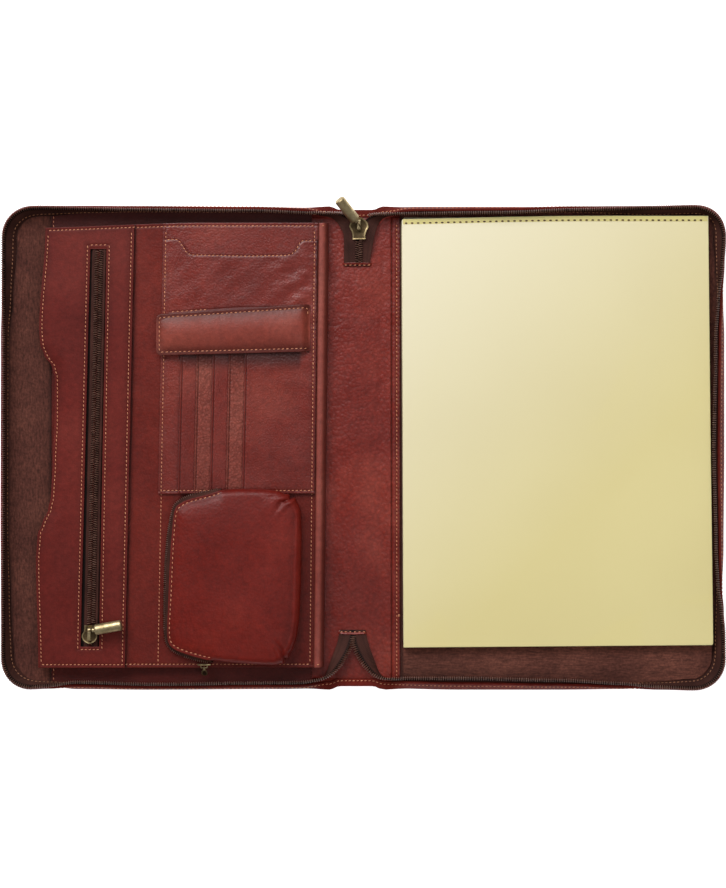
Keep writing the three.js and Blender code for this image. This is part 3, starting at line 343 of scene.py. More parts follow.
def paper_finish(name, low, high, lines=None, roughness=0.5, shine=0.5, painted_sheen=None):
    made, tree, shader, where = new_finish(name)
    colour = shades(tree, noise(tree, where, 7, 2), [(0.3, tone(*low)), (0.7, tone(*high))])
    if painted_sheen:
        # Painted sheen: the paper is paler towards its head and left side, where the window light glances off
        # it.
        slanted = node(tree, "Mapping", {"Vector": where, "Rotation": (0, 0, math.radians(-45))})
        headwards = node(tree, "SeparateXYZ", {"Vector": slanted.outputs["Vector"]}).outputs["Y"]
        colour = mixed(tree, scaled(tree, headwards, 0.0, 1.0, -0.14, 0.07), colour, tone(*painted_sheen))
    fibres = noise(tree, where, 900, 4, 0.7)
    normal = bumped(tree, fibres, 0.12, 0.1)
    if lines:
        leaves = node(tree, "TexWave", {"Vector": where, "Scale": lines}, bands_direction="Z")
        colour = mixed(tree, 0.45, colour, shades(tree, leaves.outputs["Fac"], GREY), "MULTIPLY")
        normal = bumped(tree, leaves.outputs["Fac"], 0.5, 0.2, normal)
    set_shader(tree, shader, colour=colour, roughness=roughness, normal=normal, shine=shine)
    return made


BRASS = brass_finish("antique_brass", (140, 122, 88), (208, 190, 148))
PATINA = brass_finish("brown_patina", (76, 62, 42), (118, 98, 70))
AGED_BRASS = brass_finish("aged_brass", (124, 106, 74), (184, 164, 122))
PAPER = paper_finish(
    "yellow_paper", (209, 194, 126), (215, 201, 134), None, 0.52, 1.0, painted_sheen=(226, 217, 184))
set_shader(PAPER.node_tree, PAPER.node_tree.nodes["Principled BSDF"], coat_weight=0.6, coat_roughness=0.6)
BINDING = paper_finish("binding_strip", (204, 191, 120), (212, 200, 130))
LEAVES = paper_finish("page_edges", (226, 214, 158), (240, 232, 190), lines=420)
BOARD = paper_finish("grey_board", (140, 124, 100), (166, 150, 124), lines=300)
TABLE = paper_finish("white_table", (250, 250, 250), (253, 253, 253))
table_shader = TABLE.node_tree.nodes["Principled BSDF"]
set_shader(TABLE.node_tree, table_shader, emission_color=(1, 1, 1, 1), emission_strength=0.72)
table_top.data.materials.append(TABLE)
print("finishes", len(bpy.data.materials))

# %% [markdown]
# ## How a sheet is laid
# Nearly every piece here is a sheet: leather, lining or tape. A sheet starts as a grid primitive. Its
# rows and columns are then laid where the real sheet lies, closer together along its edges, so that the
# groove of a seam is real geometry. Solidify gives the thickness, Bevel rounds the cut edge, and both are
# applied. The cut edge takes a second, darker finish.


# %% Laying a sheet
def let_go():
    bpy.ops.object.select_all(action="DESELECT")


def take(piece):
    let_go()
    piece.select_set(True)
    bpy.context.view_layer.objects.active = piece


def points_of(piece):
    flat = np.empty(len(piece.data.vertices) * 3)
    piece.data.vertices.foreach_get("co", flat)
    return flat.reshape(-1, 3)


def lay_points(piece, places):
    piece.data.vertices.foreach_set("co", (np.asarray(places) * MM).ravel())
    piece.data.update()


def laid_sheet(name, rows, columns, place):
    """A grid whose point in a row and column goes to place(row, column) = x, y, z and the number that darkens
    it.
    """
    let_go()
    bpy.ops.mesh.primitive_grid_add(x_subdivisions=len(columns) - 1, y_subdivisions=len(rows) - 1, size=2)
    piece = bpy.context.object
    piece.name = piece.data.name = name
    start = points_of(piece)
    across = np.rint((start[:, 0] + 1) / 2 * (len(columns) - 1)).astype(int)
    down = np.rint((1 - start[:, 1]) / 2 * (len(rows) - 1)).astype(int)
    x, y, z, seam_and_shade = np.broadcast_arrays(*place(rows[down], columns[across]))
    lay_points(piece, np.stack([x, y, z], 1))
    stored = piece.data.attributes.new("seam_and_shade", "FLOAT", "POINT")
    stored.data.foreach_set("value", np.ascontiguousarray(seam_and_shade, dtype=np.float32))
    return piece


# %% Thickening, finishing and keeping a sheet
def apply_modifier(piece, kind, **settings):
    take(piece)
    modifier = piece.modifiers.new(kind.lower(), kind)
    for key, value in settings.items():
        setattr(modifier, key, value)
    bpy.ops.object.modifier_apply(modifier=modifier.name)


def coat(piece, *finishes):
    for finish in finishes:
        piece.data.materials.append(finish)


def smooth(piece, angle=38):
    take(piece)
    bpy.ops.object.shade_smooth_by_angle(angle=math.radians(angle))


def round_edges(piece, width, angle=40):
    bevel = {"width": width * MM, "segments": 2, "limit_method": "ANGLE"}
    apply_modifier(piece, "BEVEL", angle_limit=math.radians(angle), **bevel)


def thicken(piece, thickness, rounding=0.35, offset=-1.0):
    rim = 1 if len(piece.data.materials) > 1 else 0
    apply_modifier(piece, "SOLIDIFY", thickness=thickness * MM, offset=offset, material_offset_rim=rim)
    if rounding:
        round_edges(piece, rounding, 50)
    smooth(piece)


def keep(piece, nodes=(), body="portfolio"):
    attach(piece, body)
    if nodes:
        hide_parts(*nodes)
    print(f"{piece.name}: {len(piece.data.polygons)} faces")
    return piece


def refinish(node_name, finish):
    """A CAD node that is nearly hidden keeps its shape and gets a finish."""
    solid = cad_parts[node_name]
    solid.data.materials.clear()
    coat(solid, finish)


def sewn_sheet(name, rows, columns, place, finish, thickness, slot, nodes=(), rounding=0.35):
    piece = laid_sheet(name, rows, columns, place)
    coat(piece, finish, EDGE)
    thicken(piece, thickness, rounding)
    return keep(piece, nodes)


# %% Small sums that many pieces need
def bell(value, width):
    """1 where the value is 0, falling smoothly away on both sides."""
    return np.exp(-((value / width) ** 2))


def ease(value, low, high):
    t = np.clip((value - low) / (high - low), 0, 1)
    return t * t * (3 - 2 * t)


def unit(ways):
    return ways / np.linalg.norm(ways, axis=-1, keepdims=True)


def reached_along(line):
    """How far along a line of points each point is."""
    return np.concatenate([[0], np.cumsum(np.linalg.norm(np.diff(line, axis=0), axis=1))])


def sampled(at, reached, values):
    """Rows of values read at distances along a line."""
    return np.stack([np.interp(at, reached, column) for column in values.T], 1)


def pair(values):
    """A row of single values as the two columns that a laid sheet takes."""
    return np.stack([values, values], 1)


print("bell at its width", round(float(bell(1.0, 1.0)), 3))

# %% Steps across a sheet, seam grooves and slow waves
SEAM = 2.1
EDGE_STEPS = (0, 0.5, 1.0, 1.4, 1.75, 2.1, 2.45, 2.8, 3.3, 4.2, 6, 9)


def stepped(count, margins=EDGE_STEPS):
    """Places across a sheet as (millimetres, share): close together at both edges and even between."""
    near = [(m, 0.0) for m in margins]
    inner = [(margins[-1] * (1 - 2 * t), t) for t in np.linspace(0, 1, count + 2)[1:-1]]
    return np.array(near + inner + [(-m, 1.0) for m in reversed(margins)])


def across(steps, left, right):
    return left + steps[:, 0] + steps[:, 1] * (right - left)


def down(steps, top, foot):
    return top - steps[:, 0] + steps[:, 1] * (foot - top)


def groove(*distances, at=SEAM, depth=0.22):
    """How far the thread pulls the sheet down along its edges, how dark that line is, and a broad band of
    painted shade beside it.
    """
    line = np.max([bell(d - at, 0.55) for d in distances], axis=0)
    # Painted shade: a broad darker band along each seam.
    soft_zone = np.max([bell(d - at, 3.2) for d in distances], axis=0)
    return -depth * line, np.maximum(line, 0.6 * soft_zone)


def rolling(x, y, pitch, height, seed):
    """Slow waves, because leather in use is never quite flat."""
    draw = np.random.default_rng(seed)
    total = 0.0
    for _ in range(6):
        turn, shift = draw.uniform(0, 2 * math.pi, 2)
        wave = 2 * math.pi / (pitch * draw.uniform(0.7, 1.6))
        total = total + np.sin((x * math.cos(turn) + y * math.sin(turn)) * wave + shift)
    return height * total / 3.5


def reading(table, at, column):
    """A column of a table between its rows, easing from row to row."""
    keys, values = table[:, 0], table[:, column]
    at = np.clip(at, keys[0], keys[-1])
    after = np.clip(np.searchsorted(keys, at), 1, len(keys) - 1)
    t = (at - keys[after - 1]) / (keys[after] - keys[after - 1])
    return values[after - 1] + (values[after] - values[after - 1]) * t * t * (3 - 2 * t)


print("edge steps", len(EDGE_STEPS))

# %% [markdown]
# ## The zip walls
# Round each cover the zip stands as a low wall, and it leans in here and out there, as soft leather does.
# The table gives, along the cover's outline from the head of the spine to its foot: how far in the wall
# leaves the floor, how far in its teeth stand, and how high. Cover, tape, teeth and linings all read it.

# %% Measures of the covers and lean of their walls
HALF_WIDTH, HALF_HEIGHT, CORNER = 251.5, 168.5, 22.0
SPINE_LEFT, SPINE_RIGHT, NOTCH = -23.5, 13.5, 2.4
FLOOR_Z, TAPE_BEHIND, TOOTH = 2.5, 2.8, 1.7
LEFT_WALL = np.array([
    (0, 1, 6, 11.5), (56, 0.5, 4.2, 14), (140, 0.5, 3.5, 14.5), (168, 1.5, 2.8, 14.5), (196, 3.5, 1.9, 14.5),
    (224, 6, 1.4, 14), (246, 6.5, 1.5, 14), (285, 3.8, 2, 14.5), (310, 1, 2.4, 14.5), (438, 0.6, 2.2, 14.5),
    (494, 2.5, 1.8, 14.5), (551, 5.5, 1.2, 14), (580, 2.5, 4, 14), (597, 0.5, 6.6, 14), (650, 0, 5.1, 14),
    (740, 0.5, 6, 13.5), (790, 1.5, 6.5, 12),
])
RIGHT_WALL = np.array([
    (0, 1, 6.5, 11.5), (25, 0.3, 6, 13.5), (81, 0.3, 5.5, 14.5), (134, 0.8, 3.6, 14.5), (188, 4, 1.9, 14.5),
    (214, 3, 1.4, 14.5), (232, 0.8, 1.2, 14.5), (252, 4.5, 1.3, 14), (269, 3, 3, 14.5), (293, 0.8, 6, 14.5),
    (321, 0, 7.8, 14.5), (398, 0, 9, 14.5), (467, 0.5, 7.6, 14.5), (495, 1.5, 6.2, 14.5), (509, 3, 3.8, 14.5),
    (527, 5, 1.8, 14), (560, 5.5, 1.2, 14), (579, 4, 1.8, 14), (603, 2, 3.2, 14.5), (628, 0.5, 5.6, 14.5),
    (670, 0, 7.8, 14.5), (740, 0, 9.2, 14.5), (797, 1, 9, 12),
])
WALLS = {-1: LEFT_WALL, 1: RIGHT_WALL}
SPINE = {-1: SPINE_LEFT, 1: SPINE_RIGHT}
ARC = CORNER * math.pi / 2
SIDE_RUN = 2 * (HALF_HEIGHT - CORNER)
print("wall stations", len(LEFT_WALL), len(RIGHT_WALL))


# %% Outline of a cover
def head_run(side):
    return HALF_WIDTH - CORNER - side * SPINE[side]


def outline_length(side):
    return 2 * head_run(side) + 2 * ARC + SIDE_RUN


def outline_spot(side, along):
    """x, y and the outward direction at a distance along one cover's outline."""
    run = head_run(side)
    ends = np.cumsum([run, ARC, SIDE_RUN, ARC, run])
    head_turn = np.clip((along - ends[0]) / CORNER, 0, math.pi / 2)
    foot_turn = np.clip((along - ends[2]) / CORNER, 0, math.pi / 2)
    turn = head_turn + foot_turn
    out_x, out_y = side * np.sin(turn), np.cos(turn)
    head = SPINE[side] + side * np.clip(along, 0, run)
    back = side * np.clip(along - ends[3], 0, run)
    x = head + CORNER * out_x - back
    y = (HALF_HEIGHT - CORNER) - np.clip(along - ends[1], 0, SIDE_RUN) + CORNER * out_y
    return x, y, out_x, out_y


def wall_inset(side, along, z):
    table = WALLS[side]
    floor, coil, height = (reading(table, along, c) for c in (1, 2, 3))
    climb = np.clip((z - FLOOR_Z) / (height - FLOOR_Z), 0, 1)
    return floor + (coil - TAPE_BEHIND - floor) * climb


def wall_point(side, along, inset, z):
    x, y, out_x, out_y = outline_spot(side, along)
    return np.stack(np.broadcast_arrays(x - out_x * inset, y - out_y * inset, z), -1)


print("outlines", [round(outline_length(s), 1) for s in (-1, 1)])

# %% [markdown]
# ## The outer leather
# One skin covers both boards and the spine. It is turned up round each cover as the outside of the zip
# wall, and turned in flat along the two ends of the spine. A long strip of grid is laid round the whole
# outline, from the underside up to the rim; its ends are merged, the flat underside is filled with
# triangles, and Solidify makes the skin.

# %% Lay the outer leather round the outline
RIM, RIM_FADE, SKIN, BAND, BAND_Z = 11.0, 18.0, 1.7, 5.4, 3.5
WALL_FOOT, BAND_BACK = 2.6, 0.15
RIM_SEAM = 0.72  # share of the way up the wall
UNDER = [(9, 0.0), (3, 0.0), (1.6, 0.12), (0.75, 0.65), (0.2, 1.6)]
CLIMB = np.linspace(0, 1, 12)


def cover_loop(step):
    """Stations round the whole skin: side, distance along that cover, and x where it is on the spine."""
    left = np.arange(0, outline_length(-1) + 0.1, step)
    right = np.arange(0, outline_length(1) + 0.1, step)[::-1]
    spine = np.linspace(SPINE_LEFT, SPINE_RIGHT, 15)[1:-1]
    rows = [(-1, s, 0, 0) for s in left] + [(0, 0, x, -1) for x in spine]
    rows += [(1, s, 0, 0) for s in right] + [(0, 0, x, 1) for x in spine[::-1]]
    return np.array(rows + rows[:1], float)


def skin_point(stations, inset_low, z_low, climb):
    """A point of the skin: climb below 0 is the underside, 0 to 1 goes up the wall or in over the band."""
    sides, alongs, xs, ends = stations.T
    result = np.zeros((len(stations), 3))
    for side in (-1, 1):
        mine = sides == side
        along = alongs[mine]
        length = outline_length(side)
        rise = ease(np.minimum(along, length - along), 0, RIM_FADE)
        floor = reading(WALLS[side], along, 1)
        z_up = WALL_FOOT + (RIM - WALL_FOOT) * climb[mine]
        up = wall_inset(side, along, z_up)
        flat = BAND_BACK + BAND * climb[mine]
        inset = np.where(climb[mine] < 0, floor * rise + inset_low[mine], flat + (up - flat) * rise)
        z = np.where(climb[mine] < 0, z_low[mine], BAND_Z + (z_up - BAND_Z) * rise)
        result[mine] = wall_point(side, along, inset, z)
    mine = sides == 0
    notch = NOTCH * ease(np.minimum(xs[mine] - SPINE_LEFT, SPINE_RIGHT - xs[mine]), 0, 7)
    inset = notch + np.where(climb[mine] < 0, inset_low[mine], BAND_BACK + BAND * climb[mine])
    z = np.where(climb[mine] < 0, z_low[mine], BAND_Z)
    result[mine] = np.stack([xs[mine], ends[mine] * (HALF_HEIGHT - inset), z], 1)
    return result


def lay_skin(rows, stations):
    spots = skin_point(stations, rows[:, 0], rows[:, 1], rows[:, 2])
    x, y, z = spots.T
    seam_and_shade = np.where(rows[:, 2] > 0, bell(rows[:, 2] - RIM_SEAM, 0.07), 0)
    wave = np.where(rows[:, 2] > 0.05, rolling(x, y, 30, 0.18, 3), 0)
    return x, y, z + wave, seam_and_shade


skin_rows = np.array([(i, z, -1) for i, z in UNDER] + [(0, 0, c) for c in CLIMB], float)
cover = laid_sheet("outer_skin", skin_rows, cover_loop(3.0), lay_skin)
print("strip", len(cover.data.vertices), "points")


# %% Choosing and editing parts of a mesh
def edit(piece, *steps):
    """Runs edit-mode operators on the whole piece or on what is already selected."""
    take(piece)
    bpy.ops.object.mode_set(mode="EDIT")
    for step in steps:
        step()
    bpy.ops.object.mode_set(mode="OBJECT")


def choose_all():
    bpy.ops.mesh.select_all(action="SELECT")


def choose_none():
    bpy.ops.mesh.select_all(action="DESELECT")


def choose_points(piece, chosen):
    edit(piece, lambda: bpy.ops.mesh.select_mode(type="VERT"), choose_none)
    piece.data.vertices.foreach_set("select", chosen)
    edges = np.empty(len(piece.data.edges) * 2, int)
    piece.data.edges.foreach_get("vertices", edges)
    piece.data.edges.foreach_set("select", chosen[edges.reshape(-1, 2)].all(1))


def choose_faces(piece, test):
    edit(piece, lambda: bpy.ops.mesh.select_mode(type="FACE"), choose_none)
    for face in piece.data.polygons:
        face.select = test(face)


def merge_all(piece, distance=0.004):
    edit(piece, choose_all, lambda: bpy.ops.mesh.remove_doubles(threshold=distance * MM))


def face_outwards(piece):
    edit(piece, choose_all, lambda: bpy.ops.mesh.normals_make_consistent(inside=False))


def face_down_is_out(piece):
    """Turns the mesh over if its lowest faces look up."""
    lowest = min(piece.data.polygons, key=lambda face: face.center.z)
    print("lowest face looks", round(lowest.normal.z, 2))
    if lowest.normal.z > 0:
        edit(piece, choose_all, bpy.ops.mesh.flip_normals)


# %% Close the skin and give it thickness
merge_all(cover)
open_edges = {}
for face in cover.data.polygons:
    for key in face.edge_keys:
        open_edges[key] = open_edges.get(key, 0) + 1
rim_points = {v for key, uses in open_edges.items() if uses == 1 for v in key}
under_rim = np.zeros(len(cover.data.vertices), bool)
under_rim[[v for v in rim_points if cover.data.vertices[v].co.z < 0.0005]] = True
choose_points(cover, under_rim)
edit(cover, lambda: bpy.ops.mesh.fill(use_beauty=True))
face_outwards(cover)
face_down_is_out(cover)
coat(cover, OUTER_LEATHER)
thicken(cover, SKIN, 0.45)
skin_spots = points_of(cover) / MM
skin_spots[:, 2] = np.maximum(skin_spots[:, 2], 0)
lay_points(cover, skin_spots)
keep(cover, ["outer_cover"])

# %% [markdown]
# ## Zip tapes
# Each tape leaves its sewn end on the spine, climbs into the wall, runs round the cover and comes back to
# the other end of the spine. Two lines, the edge with the teeth and the edge that is sewn down, describe
# it; a grid is laid between them. The free ends are short tables, the rest follows the wall.

# %% Routes of the two tapes
# each row: a point of the toothed edge, then the point of the sewn edge beside it
HEAD_ENDS = {
    -1: [
        (-4.7, 126.6, 4.4, -13.6, 126.6, 4.4), (-4.7, 130, 4.6, -13.6, 130, 4.6),
        (-4.4, 138, 5.4, -13.6, 138, 5.2), (-4.2, 144, 6.5, -13.6, 143.5, 6.5),
        (-4.4, 151, 6.5, -13.6, 148, 6.5), (-7.4, 158.6, 6.5, -14.8, 152, 6.3),
        (-11.8, 161.2, 8.4, -17.6, 156.4, 5.2), (-17, 162.4, 10.4, -20.5, 160.5, 4.6),
    ],
    1: [
        (-2.3, 126.6, 4.4, 4.2, 126.6, 4.4), (-2.3, 130, 4.6, 4.4, 130, 4.6),
        (-2, 138, 5.4, 5.8, 138, 5.2), (-1.6, 144, 6.5, 7, 143.5, 6.5), (-1.4, 151, 6.5, 7.6, 148, 6.5),
        (1.6, 158.6, 6.5, 8.8, 152, 6.3), (5.2, 161, 8.4, 10.6, 156.8, 5.2),
        (9.2, 161.8, 10.4, 12.4, 160.5, 4.6),
    ],
}
FOOT_ENDS = {
    -1: [
        (-25.4, -159.6, 11.2, -26.6, -160.5, 4.6), (-19.5, -153.4, 9.6, -24.6, -153, 4.2),
        (-14.3, -145.5, 8, -21.3, -144.5, 4.5), (-10.2, -137.2, 6.4, -18.5, -136.8, 4.6),
        (-8.4, -130.6, 4.8, -16.8, -130.4, 4.6), (-8.2, -126.6, 4.4, -16.4, -126.6, 4.4),
    ],
    1: [
        (11.4, -160, 11.2, 11.2, -159.4, 4.6), (5.6, -154.6, 9.6, 8.8, -151.4, 4.2),
        (-0.2, -147.6, 8, 5.6, -142.8, 4.5), (-4.4, -139.4, 6.4, 3.4, -136.4, 4.6),
        (-6.6, -130.6, 4.8, 1.8, -130.4, 4.6), (-6.8, -126.6, 4.4, 1.4, -126.6, 4.4),
    ],
}
END_CLEAR, TAPE_STEP = 17.0, 2.2


def tape_route(side):
    """Points along the toothed edge and along the sewn edge of one tape, evenly spaced."""
    along = np.arange(END_CLEAR, outline_length(side) - END_CLEAR, 4.0)
    height = reading(WALLS[side], along, 3) - TOOTH
    coil = wall_point(side, along, wall_inset(side, along, height) + TAPE_BEHIND, height)
    edge = wall_point(side, along, wall_inset(side, along, FLOOR_Z) + TAPE_BEHIND + 0.4, FLOOR_Z + 0.1)
    ends = [np.array(table[side], float).reshape(-1, 2, 3) for table in (HEAD_ENDS, FOOT_ENDS)]
    route = np.concatenate([ends[0], np.stack([coil, edge], 1), ends[1]])
    middle = route.mean(1)
    reached = reached_along(middle)
    even = np.linspace(0, reached[-1], int(reached[-1] / TAPE_STEP))
    flat = route.reshape(len(route), 6)
    route = sampled(even, reached, flat)
    for _ in range(5):
        route[1:-1] = (route[:-2] + 2 * route[1:-1] + route[2:]) / 4
    return route[:, :3], route[:, 3:]


ROUTES = {side: tape_route(side) for side in (-1, 1)}
print("tape lengths", [round(float(reached_along(toothed)[-1])) for toothed, _ in ROUTES.values()])

# %% Lay the tapes
TAPE_SEAM = 0.34  # share of the way from the sewn edge to the teeth
TAPE_COLUMNS = pair(np.array([0, 0.1, 0.22, TAPE_SEAM, 0.5, 0.66, 0.82, 1.0, 1.12]))


def frame_along(lines):
    """Onward, across (towards the teeth) and face directions at every point of a tape."""
    coil, edge = lines
    onward = np.gradient((coil + edge) / 2, axis=0)
    across_tape = coil - edge
    face = np.cross(onward, across_tape)
    return tuple(unit(way) for way in (onward, across_tape, face))


for side, name in ((-1, "zip_tape_left"), (1, "zip_tape_right")):
    coil, edge = ROUTES[side]

    def lay_tape(rows, columns):
        station = rows[:, 0].astype(int)
        spots = edge[station] + (coil - edge)[station] * columns[:, :1]
        sewn_line = 0.25 * bell(columns[:, 0] - TAPE_SEAM, 0.08)
        x, y, z = spots.T
        # Painted shade along the toothed edge, under and between the teeth.
        under_teeth = 0.9 * ease(columns[:, 0], 0.82, 1.0)
        return x, y, np.maximum(z, WALL_FOOT), np.maximum(sewn_line, under_teeth)

    stations = pair(np.arange(len(coil), dtype=float))
    tape = laid_sheet(name.replace("zip_tape", "wall_tape"), stations, TAPE_COLUMNS, lay_tape)
    coat(tape, TAPE)
    thicken(tape, 0.9, 0.2, 0.0)
    keep(tape, [name])

# %% [markdown]
# ## Zip teeth
# The zip is a nylon coil, and each turn of the coil shows as a small rib across the tape's edge. One rib
# is modelled, from a sphere squeezed to the size of a turn, and copied along the edge. It has a few dozen
# faces because over a thousand of them are needed.


# %% One rib, and copies of a small shape
def small_ball(name, segments, rings, size):
    let_go()
    lying = (0, math.pi / 2, 0)
    bpy.ops.mesh.primitive_uv_sphere_add(segments=segments, ring_count=rings, radius=1, rotation=lying)
    ball = bpy.context.object
    ball.name = name
    bpy.ops.object.transform_apply(location=True, rotation=True, scale=True)
    edit(ball, choose_all, lambda: bpy.ops.transform.resize(value=size))
    return ball


def shape_of(piece):
    """A pattern piece as plain points in millimetres and faces; the pattern itself is removed."""
    spots = points_of(piece)
    faces = [list(face.vertices) for face in piece.data.polygons]
    bpy.data.objects.remove(piece)
    return spots, faces


def copies(name, pattern, turns, places, finish):
    """One mesh with a copy of the pattern at every place, turned by its three axes."""
    spots, faces = pattern
    moved = np.einsum("nij,kj->nki", turns, spots) + places[:, None, :]
    count = len(spots)
    all_faces = [[v + n * count for v in face] for n in range(len(places)) for face in faces]
    mesh = bpy.data.meshes.new(name)
    mesh.from_pydata((moved.reshape(-1, 3) * MM).tolist(), [], all_faces)
    piece = bpy.data.objects.new(name, mesh)
    bpy.context.scene.collection.objects.link(piece)
    coat(piece, finish)
    smooth(piece, 60)
    return piece


def axes(first, second, third):
    return np.stack([first, second, third], -1)


RIB = shape_of(small_ball("rib", 8, 6, (1.9, 0.42, 1.3)))
print("rib", len(RIB[1]), "faces")

# %% Teeth along the walls
TOOTH_PITCH = 1.55
UNDER_SLIDER = 15  # stations of the route that the slider and the closed chain cover
for side, name in ((-1, "zip_coil_left"), (1, "zip_coil_right")):
    onward, across_tape, face = frame_along(ROUTES[side])
    centre = ROUTES[side][0] + across_tape * (TOOTH + 0.1)
    centre, onward, across_tape, face = (v[UNDER_SLIDER:-2] for v in (centre, onward, across_tape, face))
    reached = reached_along(centre)
    even = np.arange(0.5, reached[-1], TOOTH_PITCH)
    turns = axes(*(sampled(even, reached, way) for way in (across_tape, onward, face)))
    places = sampled(even, reached, centre)
    teeth = copies(name.replace("zip_coil", "wall_teeth"), RIB, turns, places, TEETH)
    keep(teeth, [name])

# %% [markdown]
# ## Linings and base leather
# Inside the walls lie the linings: brushed brown lining at the outer edge of the left cover and over the
# whole right cover, red leather under the organizer and on the spine. A flat grid is squeezed into the
# rounded outline and drawn in by the lean of the wall, so the lining meets the tape all the way round.


# %% Fit a flat sheet inside the wall
def inside_wall(x, y, margin=3.5):
    """Moves points of the cover's rectangle into its rounded corners and back from its leaning wall."""
    side = np.where(x < (SPINE_LEFT + SPINE_RIGHT) / 2, -1, 1)
    over_x, over_y = np.abs(x) - (HALF_WIDTH - CORNER), np.abs(y) - (HALF_HEIGHT - CORNER)
    corner = (over_x > 0) & (over_y > 0)
    far = np.where(corner, np.hypot(over_x, over_y), 1.0)
    squeeze = np.where(corner, np.maximum(over_x, over_y) / np.maximum(far, 1e-9), 1.0)
    x = np.where(corner, np.sign(x) * (HALF_WIDTH - CORNER + over_x * squeeze), x)
    y = np.where(corner, np.sign(y) * (HALF_HEIGHT - CORNER + over_y * squeeze), y)
    over_x, over_y = np.abs(x) - (HALF_WIDTH - CORNER), np.abs(y) - (HALF_HEIGHT - CORNER)
    corner_turn = np.arctan2(np.maximum(over_x, 0), np.maximum(over_y, 1e-9))
    turn = np.where(corner, corner_turn, np.where(over_x > over_y, math.pi / 2, 0))
    depth = np.where(corner, CORNER - np.hypot(over_x, over_y), CORNER - np.maximum(over_x, over_y))
    pull = np.zeros_like(x)
    for one in (-1, 1):
        run = head_run(one)
        on_side = (HALF_HEIGHT - CORNER) - y
        from_spine = one * (x - SPINE[one])
        along = np.where(turn > 1.55, run + ARC + on_side, from_spine)
        along = np.where(corner, run + CORNER * turn, along)
        to_spine = outline_length(one) - np.where(corner, run + CORNER * turn, from_spine)
        along = np.where((y < 0) & (corner | (turn < 0.02)), to_spine, along)
        inset = np.maximum(wall_inset(one, along, FLOOR_Z), wall_inset(one, along, 4.0)) + margin
        pull = np.where(side == one, inset, pull)
    weight = np.clip(1 - depth / CORNER, 0, 1)
    out_x, out_y = np.sign(x) * np.sin(turn), np.sign(y) * np.cos(turn)
    return x - out_x * pull * weight, y - out_y * pull * weight, weight


LINING_TOP, SEAM_GAP = 3.7, 0.15
SEAM_LEFT, SEAM_SPINE, SEAM_RIGHT = -217.4, -36.0, 25.7


def lining(name, left, right, finish, cells, shaded=0.0):
    def lay(rows, columns):
        x0 = left + (right - left) * columns[:, 0]
        y0 = HALF_HEIGHT - 2 * HALF_HEIGHT * rows[:, 0]
        x, y, weight = inside_wall(x0, y0)
        z = LINING_TOP + rolling(x, y, 55, 0.22, 7) + np.maximum(0, weight - 0.75) * 2
        seam_and_shade = bell(np.minimum(x0 - left, right - x0), 1.2)
        # Painted shade on the base leather in the strips between the organizer and the head and foot walls.
        under_head, under_foot = ease(y, 146, 152), 0.7 * ease(-y, 147, 152)
        return x, y, z, np.maximum(seam_and_shade, shaded * np.maximum(under_head, under_foot))

    rows, columns = (pair(np.linspace(0, 1, count + 1)) for count in cells)
    piece = laid_sheet(name, rows, columns, lay)
    coat(piece, finish)
    thicken(piece, 1.1, 0)
    return piece


outer_lining = lining("outer_lining", -HALF_WIDTH, SEAM_LEFT - SEAM_GAP, SUEDE, (110, 14))
keep(outer_lining, ["lining_left"])
base = lining("organizer_base", SEAM_LEFT + SEAM_GAP, SEAM_SPINE - SEAM_GAP, LEATHER, (90, 50), shaded=1.8)
keep(base, ["base_leather"])
page_lining = lining("page_lining", SEAM_RIGHT + SEAM_GAP, HALF_WIDTH, SUEDE, (110, 76))
keep(page_lining, ["lining_right"])

# %% [markdown]
# ## The spine
# The spine's inside is one strip of leather, hollowed a little along its two hinge lines. Its right edge
# is a stitched hem that covers the lining of the right cover. At head and foot the ends of the zip tapes
# go into a slit in this leather, so a short lip lies over each pair of tape ends.

# %% Spine leather
HEM_FOLD, HEM_SEAM, HEM_EDGE, SPINE_END = 19.5, 23.2, 25.55, 160.3
LEFT_HINGE, RIGHT_HINGE, SPINE_HUMP = -22, 12, -5
hem_steps = [
    18.4, 18.9, 19.2, HEM_FOLD, 19.8, 20.2, 20.8, 21.6,
    22.2, 22.6, 22.9, HEM_SEAM, 23.5, 23.8, 24.3, 24.9, HEM_EDGE,
]
spine_columns = np.concatenate([np.linspace(SEAM_SPINE + SEAM_GAP, 17.6, 60), hem_steps])


def lay_spine(rows, columns):
    x = columns[:, 0]
    y = SPINE_END - 2 * SPINE_END * rows[:, 0]
    inner = 1 - ease(np.abs(y), 112, 126)
    hinges = 0.45 * bell(x - LEFT_HINGE, 5) + 0.4 * bell(x - RIGHT_HINGE, 5)
    hump = 0.55 * bell(x - SPINE_HUMP, 9) * inner
    hem = 0.45 * ease(x, HEM_FOLD, HEM_FOLD + 1.2)
    fold = bell(x - HEM_FOLD, 0.45)
    sink, line = groove(x - HEM_SEAM, at=0.0, depth=0.4)
    z = LINING_TOP - hinges + hump + hem - 0.5 * fold + sink + rolling(x, y, 40, 0.16, 11)
    near_hinge = bell(x + 24, 9) + 0.8 * bell(x - 13, 6)
    z = z + near_hinge * (rolling(x * 2.6, y * 0.35, 9, 0.16, 12) + rolling(x, y, 12, 0.1, 13))
    z = z + rolling(x * 1.5, y * 0.6, 13, 0.2, 14) * ease(y, 40, 110) * inner
    # Painted shade in the hem's fold, and a dark line at the cut edge that is partly edge paint, partly
    # painted shadow.
    edge_paint_and_shadow = 2.3 * np.exp(-np.maximum(HEM_EDGE - x, 0) / 0.7)
    # Painted shade: the spine gets darker towards its foot, where less light falls.
    foot_shade = 0.45 * ease(-y, -10, 150)
    return x, y, z, np.maximum.reduce([line, 2.0 * fold, edge_paint_and_shadow, foot_shade])


